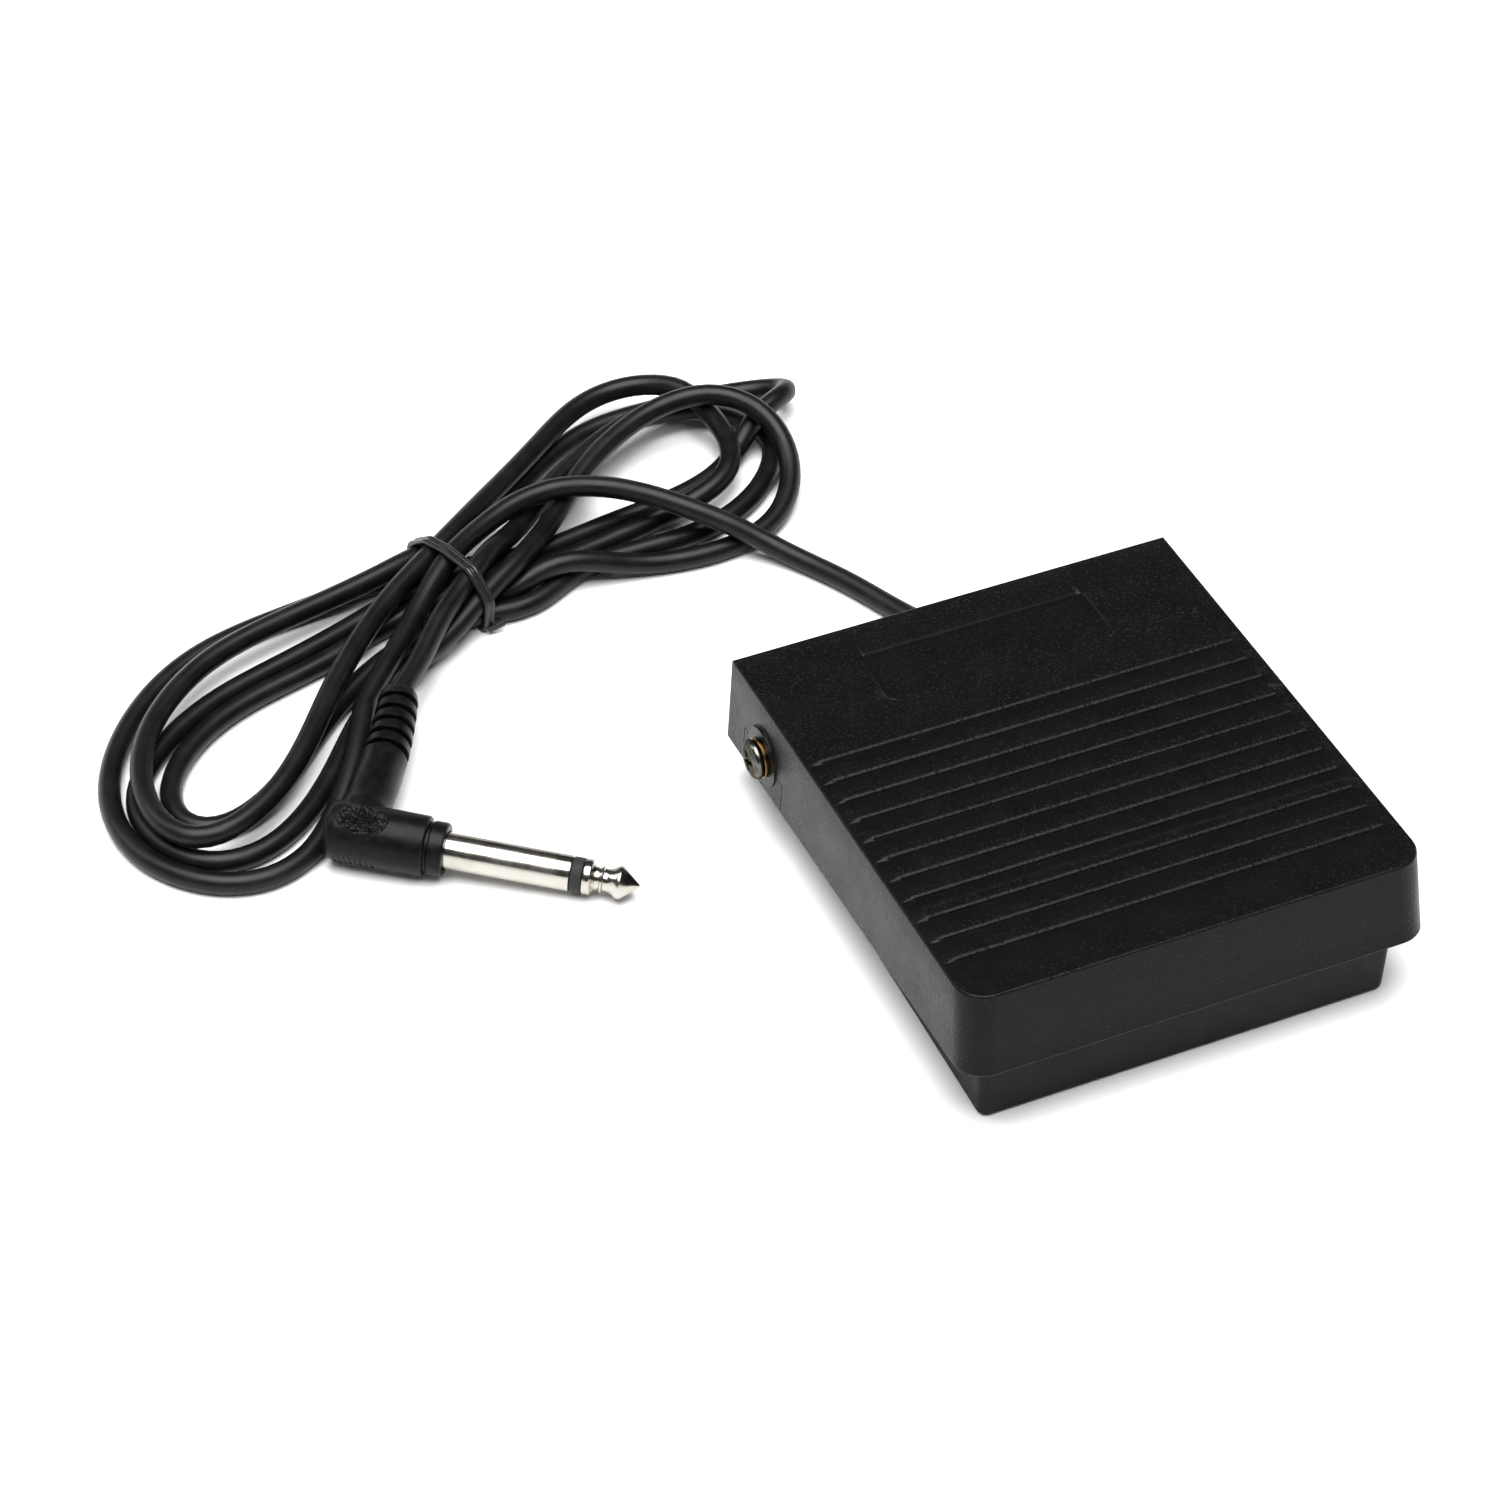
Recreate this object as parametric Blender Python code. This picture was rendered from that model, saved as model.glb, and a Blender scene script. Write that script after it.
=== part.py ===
"""A sustain pedal: a hinged plastic treadle over a base tray, with its switch, springs, cord and plug.

Run it with blender --background --python part.py, or from the text editor.
+Z is up, +X is the treadle's width and +Y points to the rear, where the cord leaves. The foot presses
the front, at -Y. The origin is the centre of the pedal's footprint, on the floor.
Sizes in this file are in millimetres, and MM turns them into metres when a mesh is made.
"""

import math

import bmesh
import bpy
from mathutils import Matrix, Vector

MM = 0.001
GAP = 0.3  # clearance between neighbouring pieces
UP = (0, 0, 1)
LEFT, RIGHT = -1, 1
SIDES = {"left": LEFT, "right": RIGHT}

# Treadle cover
REAR_Y = 48.1
FRONT_Y = -48.1  # front of the skirt's lower edge
TOP_FRONT_Y = -45.4  # front of the top face
TOP_REAR_Z = 26.0
TOP_FRONT_Z = 29.9
SKIRT_REAR_Z = 8.5
SKIRT_FRONT_Z = 14.6
TOP_HALF_WIDTH = 41.46
SIDE_DRAFT = 0.0557  # how far a side leans out per millimetre of depth
COVER_CORNER = 5.3
WALL = 2.2
RIB_COUNT = 11
RIB_FIRST_Y = 17.4
RIB_LAST_Y = -35.0
RIB_HALF_LENGTH = 38.9
RIB_FRONT, RIB_REAR = -0.65, 1.65  # a rib's front and rear foot, from its row
RIB_DRAFT = 0.2
RIB_HEIGHT = 0.5
PANEL_HALF_WIDTH = 21.5
PANEL_Y = (27.0, 40.3)
PANEL_DEPTH = 0.3
PANEL_CORNER = 1.5
CUP_RADIUS = 8.2  # the cup that holds the return spring's top
CUP_BORE = 6.6
CUP_Z = 23.6
CUP_CEILING_Z = 26.3
POST_FOOT_RADIUS = 4.0  # the post that presses the switch
POST_TIP_RADIUS = 2.0
POST_TIP_LENGTH = 3.0
STIFFENER_X = 14.0
STIFFENER_HALF_WIDTH = 0.8
STIFFENER_Y = (-37.0, 24.0)
STIFFENER_Z = 21.5

# Hinge, on the line of the two side screws
PIVOT = Vector((0.0, 33.5, 16.0))
COLLAR_RADIUS = 5.5
COLLAR_FACE_X = 42.4  # the collar round the pivot stands proud of the cover's side
BOSS_X = 38.7  # inner face of the cover's pivot boss
LUG_X = (33.0, 38.1)
LUG_RADIUS = 6.5
SCREW_FACE_X = 45.0
HEAD_RADIUS = 3.5
HEAD_HEIGHT = 1.7
SHANK_RADIUS = 2.0
SHANK_LENGTH = 11.3
BUSH_RADIUS = 3.1
BUSH_FLANGE_RADIUS = 3.9

# Base tray
BASE_BOTTOM_Z = 0.4
BASE_TOP_Z = 15.6
BASE_HALF_WIDTH = 37.3
BASE_FRONT_Y = -43.9
BASE_REAR_Y = 44.0
BASE_DRAFT = 0.03
BASE_CORNER = 1.8
LEAST_CORNER = 0.4  # the tray's inner corners, which its wall would otherwise make sharp
BASE_WALL = 2.2
FLOOR_Z = 2.8  # top of the tray's floor
MAT_Z = 1.0
MAT_HALF_WIDTH = 33.7
MAT_HALF_LENGTH = 40.2
LEDGE_Z = 8.2
LEDGE_REAR_Y = 47.3
LEDGE_HALF_WIDTH = 33.0
ROOT = 0.6  # how far a boss or post is sunk in the tray's floor

# Return spring, switch and stops
SPRING_Y = -20.0
SPRING_RADIUS = 5.5
SPRING_WIRE = 0.5
SPRING_TOP_Z = 26.0
SPRING_POST_RADIUS = 4.4
SPRING_POST_Z = 8.6
SWITCH_Y = 8.0
HOUSING_HALF = (7.0, 6.5)
HOUSING_TOP_Z = 13.0
PLUNGER_TOP_Z = 16.5
PLUNGER_RADIUS = 2.4
TERMINAL_X = 3.8
EAR_SCREW_X = 9.4
EAR_Z = (5.5, 7.0)
EAR_END_X = 12.0
TERMINAL_Z = (5.5, 6.0)
TERMINAL_HALF_WIDTH = 1.3
TERMINAL_REACH = 3.5  # how far a terminal stands out of the housing
HOUSING_WALL = 1.4
HOUSING_CEILING_Z = 11.6
BRIDGE_Z = (9.1, 9.7)
STOP_X, STOP_Y = 27.0, -34.0
STOP_POST_RADIUS = 4.8
STOP_POST_Z = 16.6
STOP_TOP_Z = 19.4
PEG_RADIUS = 1.5
BOSS_RADIUS = 2.4  # bosses for the small screws
BOSS_BORE = 1.3
SMALL_SCREW = {"head_radius": 2.0, "head_height": 1.4, "shank_radius": 1.0}

# Cord inside the tray, and its exit
EXIT_X = 6.0
CORD_Z = 5.1
CORD_RADIUS = 2.0
INNER_CORD_END_Y = 32.5
WIRE_RADIUS = 0.6
OUTLET_RADIUS = 2.9
CLAMP_Y = 37.0
CLAMP_Z = (7.3, 9.3)
CLAMP_HALF = (8.6, 2.2)
CLAMP_SCREW_REACH = 6.0
GROMMET_END_Y = 57.0

# Free cord: the stretch from the pedal to the tied hank, chosen point by point
LEAD_ROUTE = [
    (6.0, 57.6, 5.1),
    (5.9, 61.5, 4.4),
    (4.1, 68.0, 2.7),
    (0.5, 75.5, 2.1),
    (-3.2, 83.5, 2.1),
    (-6.9, 90.0, 2.3),
    (-9.4, 94.6, 3.0),
]
# The outline of the hank on the floor, tied at its waist
HANK_OUTLINE = [
    (-74.4, 120.9), (-90, 120), (-103, 117.5), (-121, 112), (-137, 99), (-147, 83),
    (-146, 66), (-137, 53), (-126, 48.5), (-119.5, 51.5), (-113, 61), (-106, 70.5),
    (-97.8, 83.7), (-88.5, 94.5), (-80, 101.2), (-68.8, 103.8), (-55, 101), (-38, 98.5),
    (-20, 96.5), (-8, 99.5), (1, 108), (4, 118), (4, 130), (10.5, 137.5), (9, 143.5),
    (-4, 147.5), (-18, 152.5), (-31, 152), (-45, 145.5), (-60, 133),
]  # fmt: skip
HANK_Z = (1.6, 10.2)
TIE_CENTRE = Vector((-71.6, 112.3, 0.0))
TIE_ACROSS = Vector((-0.30, 0.954, 0.0))
TIE_HALF_WIDTH = 10.3
TIE_WIRE = 0.6
# From the hank's side to the top of the plug's strain relief
TAIL_ROUTE = [(-82.9, 95.2, 6.2), (-85.8, 91.0, 6.9), (-88.6, 86.5, 7.4), (-90.8, 81.9, 7.7)]

# Plug: its own frame has the finger along +X and the stem along +Y, and starts where they cross
PLUG_CROSSING = Vector((-109.1, 53.0, 6.15))
PLUG_YAW = math.radians(-34.9)
PLUG_DIP = math.radians(3.4)
PLUG_ROLL = math.radians(2.4)
BARREL = (-5.3, 12.4)
BARREL_RADIUS = 5.3
COLLAR_END = 15.7
COLLAR_RADIUS = 4.7
SLEEVE_SOCKET = 1.0  # how deep the sleeve sits in the collar
SLEEVE_END = 37.9
INSULATOR_END = 39.6
TIP_END = 49.5
SLEEVE_RADIUS = 3.175
STEM_RADIUS = 4.2
STEM_END = 14.5
RELIEF_END = 33.8
GROOVE_COUNT = 5
GROOVE_FIRST = 18.3
GROOVE_PITCH = 3.03
GROOVE_WIDTH = 1.1
GROOVE_DEPTH = 0.7


def clear_scene():
    for obj in list(bpy.data.objects):
        bpy.data.objects.remove(obj, do_unlink=True)


def material(name, colour, roughness, metallic=0.0):
    """One Principled material for each name."""
    made = bpy.data.materials.get(name) or bpy.data.materials.new(name)
    made.use_nodes = True
    shader = made.node_tree.nodes["Principled BSDF"]
    shader.inputs["Base Color"].default_value = (*colour, 1.0)
    shader.inputs["Roughness"].default_value = roughness
    shader.inputs["Metallic"].default_value = metallic
    return made


def materials():
    return {
        "cover_plastic": material("cover_plastic", (0.018, 0.018, 0.019), 0.42),
        "base_plastic": material("base_plastic", (0.022, 0.022, 0.022), 0.5),
        "switch_plastic": material("switch_plastic", (0.03, 0.03, 0.03), 0.45),
        "rubber": material("rubber", (0.02, 0.02, 0.02), 0.75),
        "cord_jacket": material("cord_jacket", (0.022, 0.022, 0.022), 0.5),
        "wire_red": material("wire_red", (0.45, 0.03, 0.02), 0.45),
        "wire_black": material("wire_black", (0.02, 0.02, 0.02), 0.45),
        "dark_screw": material("dark_screw", (0.12, 0.11, 0.10), 0.3, 1.0),
        "steel": material("steel", (0.55, 0.54, 0.52), 0.3, 1.0),
        "brass": material("brass", (0.70, 0.50, 0.22), 0.3, 1.0),
        "nickel": material("nickel", (0.72, 0.69, 0.64), 0.2, 1.0),
    }


def add_object(name, bm, look, origin=(0, 0, 0), smooth=True):
    """Makes an object from a mesh in millimetres, with its own origin at the given place."""
    origin = Vector(origin)
    bmesh.ops.recalc_face_normals(bm, faces=bm.faces)
    bmesh.ops.translate(bm, verts=bm.verts, vec=-origin)
    bmesh.ops.scale(bm, verts=bm.verts, vec=(MM, MM, MM))
    mesh = bpy.data.meshes.new(name)
    bm.to_mesh(mesh)
    bm.free()
    if smooth:
        mesh.shade_smooth()
        mesh.set_sharp_from_angle(angle=math.radians(35))
    obj = bpy.data.objects.new(name, mesh)
    obj.location = origin * MM
    mesh.materials.append(look)
    bpy.context.scene.collection.objects.link(obj)
    return obj


def skin(bm, rings, closed=False):
    """Joins rings of points with quads, and closes the two ends unless the rings run in a circle."""
    loops = [[bm.verts.new(p) for p in ring] for ring in rings]
    pairs = list(zip(loops, loops[1:] + loops[:1])) if closed else list(zip(loops, loops[1:]))
    count = len(loops[0])
    for a, b in pairs:
        for i in range(count):
            j = (i + 1) % count
            bm.faces.new((a[i], a[j], b[j], b[i]))
    if not closed:
        bm.faces.new(list(reversed(loops[0])))
        bm.faces.new(loops[-1])


def box(low, high):
    bm = bmesh.new()
    (x0, y0, z0), (x1, y1, z1) = low, high
    rings = [[(x0, y0, z), (x1, y0, z), (x1, y1, z), (x0, y1, z)] for z in (z0, z1)]
    skin(bm, rings)
    return bm


def axis_frame(origin, direction):
    """A matrix whose +Z runs along the direction, from the origin."""
    turn = Vector(direction).to_track_quat("Z", "Y").to_matrix().to_4x4()
    return Matrix.Translation(Vector(origin)) @ turn


def turned(profile, origin, direction, segments=32, hollow=False):
    """A turned shape from (radius, distance along the axis) points. A hollow profile runs all round."""
    frame = axis_frame(origin, direction)
    angles = [2 * math.pi * i / segments for i in range(segments)]
    rings = [
        [frame @ Vector((r * math.cos(a), r * math.sin(a), h)) for a in angles] for r, h in profile
    ]
    bm = bmesh.new()
    skin(bm, rings, closed=hollow)
    return bm


def combine(target, name, bm, operation="UNION"):
    """Adds a hidden guide to the target with a Boolean."""
    tool = add_object(name, bm, target.data.materials[0], smooth=False)
    tool.hide_render = True
    tool.display_type = "WIRE"
    step = target.modifiers.new(name, "BOOLEAN")
    step.operation = operation
    step.solver = "EXACT"
    step.object = tool
    return tool


def smooth_route(points, steps, cyclic=False):
    """Points along a Catmull-Rom curve through the given ones."""
    pts = [Vector(p) for p in points]
    if cyclic:
        pts = [pts[-1], *pts, pts[0], pts[1]]
    else:
        pts = [2 * pts[0] - pts[1], *pts, 2 * pts[-1] - pts[-2]]
    found = []
    for a, b, c, d in zip(pts, pts[1:], pts[2:], pts[3:]):
        for i in range(steps):
            t = i / steps
            found.append(
                0.5
                * (2 * b + (c - a) * t + (2 * a - 5 * b + 4 * c - d) * t**2 + (3 * b - a - 3 * c + d) * t**3)
            )
    if not cyclic:
        found.append(pts[-2])
    return found


def tube(name, points, radius, look, sides=8, origin=(0, 0, 0)):
    """A round tube with closed ends along the given points."""
    origin = Vector(origin)
    curve = bpy.data.curves.new(name, "CURVE")
    curve.dimensions = "3D"
    curve.bevel_depth = radius * MM
    curve.bevel_resolution = sides // 2 - 2
    curve.use_fill_caps = True
    spline = curve.splines.new("POLY")
    spline.points.add(len(points) - 1)
    for point, place in zip(spline.points, points):
        point.co = (*((Vector(place) - origin) * MM), 1.0)
    curve.materials.append(look)
    obj = bpy.data.objects.new(name, curve)
    obj.location = origin * MM
    bpy.context.scene.collection.objects.link(obj)
    return obj


def top_z(y):
    """Height of the treadle's sloping top face."""
    share = (REAR_Y - y) / (REAR_Y - TOP_FRONT_Y)
    return TOP_REAR_Z + share * (TOP_FRONT_Z - TOP_REAR_Z)


def skirt_z(y):
    """Height of the skirt's lower edge."""
    share = (REAR_Y - y) / (REAR_Y - FRONT_Y)
    return SKIRT_REAR_Z + share * (SKIRT_FRONT_Z - SKIRT_REAR_Z)


def plan_outline(front_half, rear_half, front_y, rear_y, front_radius, rear_radius=0.0, steps=6):
    """A rectangle seen from above, with rounded front corners and, if asked for, rear ones."""
    points = []
    corners = [
        (front_half, front_y, front_radius, -90, RIGHT, 1),
        (rear_half, rear_y, rear_radius, 0, RIGHT, -1),
        (rear_half, rear_y, rear_radius, 90, LEFT, -1),
        (front_half, front_y, front_radius, 180, LEFT, 1),
    ]
    for half, y, radius, start, side, inward in corners:
        if radius == 0.0:
            points.append((side * half, y))
            continue
        centre = (side * (half - radius), y + inward * radius)
        for i in range(steps + 1):
            angle = math.radians(start + 90 * i / steps)
            points.append((centre[0] + radius * math.cos(angle), centre[1] + radius * math.sin(angle)))
    return points


def cover_ring(level, inset):
    """One ring of the cover's shell, at its top or at its skirt, moved inward by the inset."""
    if level == "top":
        outline = plan_outline(
            TOP_HALF_WIDTH - inset,
            TOP_HALF_WIDTH - inset,
            TOP_FRONT_Y + inset,
            REAR_Y - inset,
            COVER_CORNER - inset,
        )
        drop = inset
        return [(x, y, top_z(y) - drop) for x, y in outline]
    front_half = TOP_HALF_WIDTH + SIDE_DRAFT * (top_z(FRONT_Y) - SKIRT_FRONT_Z)
    rear_half = TOP_HALF_WIDTH + SIDE_DRAFT * (TOP_REAR_Z - SKIRT_REAR_Z)
    outline = plan_outline(
        front_half - inset, rear_half - inset, FRONT_Y + inset, REAR_Y - inset, COVER_CORNER - inset
    )
    return [(x, y, skirt_z(y)) for x, y in outline]


def rib_mesh():
    """All the raised grip ribs, each a low bar with sloping sides and ends."""
    bm = bmesh.new()
    pitch = (RIB_LAST_Y - RIB_FIRST_Y) / (RIB_COUNT - 1)
    for i in range(RIB_COUNT):
        y = RIB_FIRST_Y + pitch * i
        rings = []
        for inset, height in ((0.0, -RIB_HEIGHT), (RIB_DRAFT, RIB_HEIGHT)):
            half = RIB_HALF_LENGTH - inset
            front, rear = y + RIB_FRONT + inset, y + RIB_REAR - inset
            corners = [(-half, front), (half, front), (half, rear), (-half, rear)]
            rings.append([(cx, cy, top_z(cy) + height) for cx, cy in corners])
        skin(bm, rings)
    return bm


def make_cover(looks):
    bm = bmesh.new()
    skin(
        bm,
        [
            cover_ring("top", 0.0),
            cover_ring("skirt", 0.0),
            cover_ring("skirt", WALL),
            cover_ring("top", WALL),
        ],
    )
    cover = add_object("pedal_cover", bm, looks["cover_plastic"], origin=PIVOT)
    combine(cover, "guide_ribs", rib_mesh())
    for name, side in SIDES.items():
        outward = (side, 0, 0)
        boss = turned([(LUG_RADIUS, BOSS_X), (LUG_RADIUS, BOSS_X + 3.0)], PIVOT, outward)
        combine(cover, f"guide_pivot_boss_{name}", boss)
        collar = turned([(COLLAR_RADIUS, BOSS_X + 1.5), (COLLAR_RADIUS, COLLAR_FACE_X)], PIVOT, outward)
        combine(cover, f"guide_collar_{name}", collar)
        hole = turned([(BUSH_RADIUS + 0.4, 36.0), (BUSH_RADIUS + 0.4, 46.0)], PIVOT, outward)
        combine(cover, f"cut_pivot_hole_{name}", hole, "DIFFERENCE")
    spring_foot = (0, SPRING_Y, 0)
    cup = turned([(CUP_RADIUS, CUP_Z), (CUP_RADIUS, CUP_CEILING_Z + 1.3)], spring_foot, UP)
    combine(cover, "guide_spring_cup", cup)
    socket = turned([(CUP_BORE, CUP_Z - 3.0), (CUP_BORE, CUP_CEILING_Z)], spring_foot, UP)
    combine(cover, "cut_spring_cup", socket, "DIFFERENCE")
    tip_z = PLUNGER_TOP_Z + GAP
    shoulder_z = tip_z + POST_TIP_LENGTH
    profile = [
        (POST_TIP_RADIUS, tip_z),
        (POST_TIP_RADIUS, shoulder_z),
        (POST_FOOT_RADIUS, shoulder_z + 1.0),
        (POST_FOOT_RADIUS, TOP_REAR_Z + 0.6),
    ]
    combine(cover, "guide_actuator_post", turned(profile, (0, SWITCH_Y, 0), UP, segments=24))
    for name, side in SIDES.items():
        middle = side * STIFFENER_X
        low = (middle - STIFFENER_HALF_WIDTH, STIFFENER_Y[0], STIFFENER_Z)
        high = (middle + STIFFENER_HALF_WIDTH, STIFFENER_Y[1], TOP_REAR_Z)
        combine(cover, f"guide_stiffener_{name}", box(low, high))
    half, (y0, y1) = PANEL_HALF_WIDTH, PANEL_Y
    rings = []
    for lift in (-PANEL_DEPTH, 4.0):
        outline = plan_outline(half, half, y0, y1, PANEL_CORNER, PANEL_CORNER, steps=3)
        rings.append([(x, y, top_z(y) + lift) for x, y in outline])
    bm = bmesh.new()
    skin(bm, rings)
    combine(cover, "cut_panel", bm, "DIFFERENCE")
    return cover


def base_ring(z, inset):
    flare = BASE_DRAFT * (z - BASE_BOTTOM_Z)
    half = BASE_HALF_WIDTH + flare - inset
    radius = max(BASE_CORNER - inset, LEAST_CORNER)
    outline = plan_outline(
        half,
        half,
        BASE_FRONT_Y - flare + inset,
        BASE_REAR_Y + flare - inset,
        radius,
        radius,
        steps=5,
    )
    return [(x, y, z) for x, y in outline]


def lug_mesh(side):
    """A hinge lug: a plate that stands on the floor and is round about the pivot."""
    steps = 14
    outline = [(PIVOT.y + LUG_RADIUS, FLOOR_Z - ROOT), (PIVOT.y + LUG_RADIUS, PIVOT.z)]
    for i in range(1, steps):
        angle = math.pi * i / steps
        outline.append((PIVOT.y + LUG_RADIUS * math.cos(angle), PIVOT.z + LUG_RADIUS * math.sin(angle)))
    outline += [(PIVOT.y - LUG_RADIUS, PIVOT.z), (PIVOT.y - LUG_RADIUS, FLOOR_Z - ROOT)]
    bm = bmesh.new()
    skin(bm, [[(side * x, y, z) for y, z in outline] for x in LUG_X])
    return bm


def make_base(looks):
    bm = bmesh.new()
    skin(
        bm,
        [
            base_ring(BASE_BOTTOM_Z, 0.0),
            base_ring(BASE_TOP_Z, 0.0),
            base_ring(BASE_TOP_Z, BASE_WALL),
            base_ring(FLOOR_Z, BASE_WALL),
        ],
    )
    base = add_object("base_tray", bm, looks["base_plastic"])
    ledge = box(
        (-LEDGE_HALF_WIDTH, BASE_REAR_Y - 1.6, BASE_BOTTOM_Z + 0.1),
        (LEDGE_HALF_WIDTH, LEDGE_REAR_Y, LEDGE_Z),
    )
    combine(base, "guide_ledge", ledge)
    root_z = FLOOR_Z - ROOT
    for name, side in SIDES.items():
        combine(base, f"guide_lug_{name}", lug_mesh(side))
        hole_radius = SHANK_RADIUS + GAP
        hole = turned([(hole_radius, 30.0), (hole_radius, 41.0)], PIVOT, (side, 0, 0), 24)
        combine(base, f"cut_lug_{name}", hole, "DIFFERENCE")
        foot = (side * STOP_X, STOP_Y, 0)
        stop = turned([(STOP_POST_RADIUS, root_z), (STOP_POST_RADIUS, STOP_POST_Z)], foot, UP, 24)
        combine(base, f"guide_stop_post_{name}", stop)
        peg = PEG_RADIUS + GAP
        peg_hole = turned([(peg, STOP_POST_Z - 4.0), (peg, STOP_POST_Z + 4.0)], foot, UP, 16)
        combine(base, f"cut_stop_post_{name}", peg_hole, "DIFFERENCE")
        for kind, x, y, top in (
            ("switch", side * EAR_SCREW_X, SWITCH_Y, EAR_Z[0] - GAP),
            ("clamp", EXIT_X + side * CLAMP_SCREW_REACH, CLAMP_Y, CLAMP_Z[0] - GAP),
        ):
            boss = turned([(BOSS_RADIUS, root_z), (BOSS_RADIUS, top)], (x, y, 0), UP, 20)
            combine(base, f"guide_{kind}_boss_{name}", boss)
            bore = turned([(BOSS_BORE, FLOOR_Z + 0.2), (BOSS_BORE, top + 4)], (x, y, 0), UP, 12)
            combine(base, f"cut_{kind}_boss_{name}", bore, "DIFFERENCE")
    wide, narrow = SPRING_POST_RADIUS, SPRING_POST_RADIUS - 0.6
    profile = [(wide, root_z), (wide, SPRING_POST_Z - 0.6), (narrow, SPRING_POST_Z)]
    combine(base, "guide_spring_post", turned(profile, (0, SPRING_Y, 0), UP, 28))
    recess = box(
        (-MAT_HALF_WIDTH - GAP, -MAT_HALF_LENGTH - GAP, -2.0),
        (MAT_HALF_WIDTH + GAP, MAT_HALF_LENGTH + GAP, MAT_Z + GAP),
    )
    combine(base, "cut_mat_recess", recess, "DIFFERENCE")
    bore = [(OUTLET_RADIUS, BASE_REAR_Y - 6.0), (OUTLET_RADIUS, LEDGE_REAR_Y + 3.0)]
    outlet = turned(bore, (EXIT_X, 0, CORD_Z), (0, 1, 0), 24)
    combine(base, "cut_cord_outlet", outlet, "DIFFERENCE")
    return base


def make_mat(looks):
    mat = box((-MAT_HALF_WIDTH, -MAT_HALF_LENGTH, 0.0), (MAT_HALF_WIDTH, MAT_HALF_LENGTH, MAT_Z))
    add_object("non_slip_mat", mat, looks["rubber"], smooth=False)


def cross_recess(origin, direction, width, reach, depth, lift):
    """The two crossed slots of a screw's drive."""
    frame = axis_frame(origin, direction)
    tools = []
    for half_x, half_y in ((reach, width), (width, reach)):
        bm = box((-half_x, -half_y, lift - depth), (half_x, half_y, lift + 2.0))
        bm.transform(frame)
        tools.append(bm)
    return tools


def make_screw(name, look, origin, direction, head_radius, head_height, shank_radius, length):
    """A pan-head screw. Its head's face is at the origin and its shank runs back from it."""
    profile = [
        (shank_radius, -length),
        (shank_radius, -head_height),
        (head_radius * 0.96, -head_height),
        (head_radius, -head_height * 0.75),
        (head_radius * 0.93, -head_height * 0.35),
        (head_radius * 0.62, 0.0),
    ]
    screw = add_object(name, turned(profile, origin, direction, 28), look)
    slots = cross_recess(origin, direction, head_radius * 0.12, head_radius * 0.55, head_height * 0.5, 0.0)
    for i, slot in enumerate(slots):
        combine(screw, f"cut_{name}_{i}", slot, "DIFFERENCE")
    return screw


def make_pivots(looks):
    for name, side in SIDES.items():
        face = (side * SCREW_FACE_X, PIVOT.y, PIVOT.z)
        outward = (side, 0, 0)
        make_screw(
            f"pivot_screw_{name}",
            looks["dark_screw"],
            face,
            outward,
            HEAD_RADIUS,
            HEAD_HEIGHT,
            SHANK_RADIUS,
            SHANK_LENGTH,
        )
        flange_out = SCREW_FACE_X - HEAD_HEIGHT - GAP
        profile = [
            (SHANK_RADIUS + GAP, LUG_X[1] + GAP),
            (BUSH_RADIUS, LUG_X[1] + GAP),
            (BUSH_RADIUS, COLLAR_FACE_X + GAP),
            (BUSH_FLANGE_RADIUS, COLLAR_FACE_X + GAP),
            (BUSH_FLANGE_RADIUS, flange_out),
            (SHANK_RADIUS + GAP, flange_out),
        ]
        bush = turned(profile, (0, PIVOT.y, PIVOT.z), outward, 32, hollow=True)
        add_object(f"pivot_bush_{name}", bush, looks["brass"])


def coil_points(centre, low, high, radius, turns, per_turn, end_pitch):
    """Points along a compression coil, with a closer pitch over its first and last turn."""
    total = turns * per_turn
    body_pitch = (high - low - 2 * end_pitch) / (turns - 2)
    points = []
    for i in range(total + 1):
        turn = i / per_turn
        if turn <= 1:
            z = low + end_pitch * turn
        elif turn >= turns - 1:
            z = high - end_pitch * (turns - turn)
        else:
            z = low + end_pitch + body_pitch * (turn - 1)
        angle = 2 * math.pi * turn
        points.append((centre[0] + radius * math.cos(angle), centre[1] + radius * math.sin(angle), z))
    return points


def make_springs(looks):
    low = FLOOR_Z + GAP + SPRING_WIRE
    high = SPRING_TOP_Z - SPRING_WIRE
    points = coil_points((0, SPRING_Y), low, high, SPRING_RADIUS, 8, 16, 1.4)
    tube("return_spring", points, SPRING_WIRE, looks["steel"], sides=6)
    points = coil_points((0, SWITCH_Y), FLOOR_Z + GAP + 0.2, 8.5, 1.75, 6, 12, 0.6)
    tube("switch_spring", points, 0.2, looks["steel"], sides=6)


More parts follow.
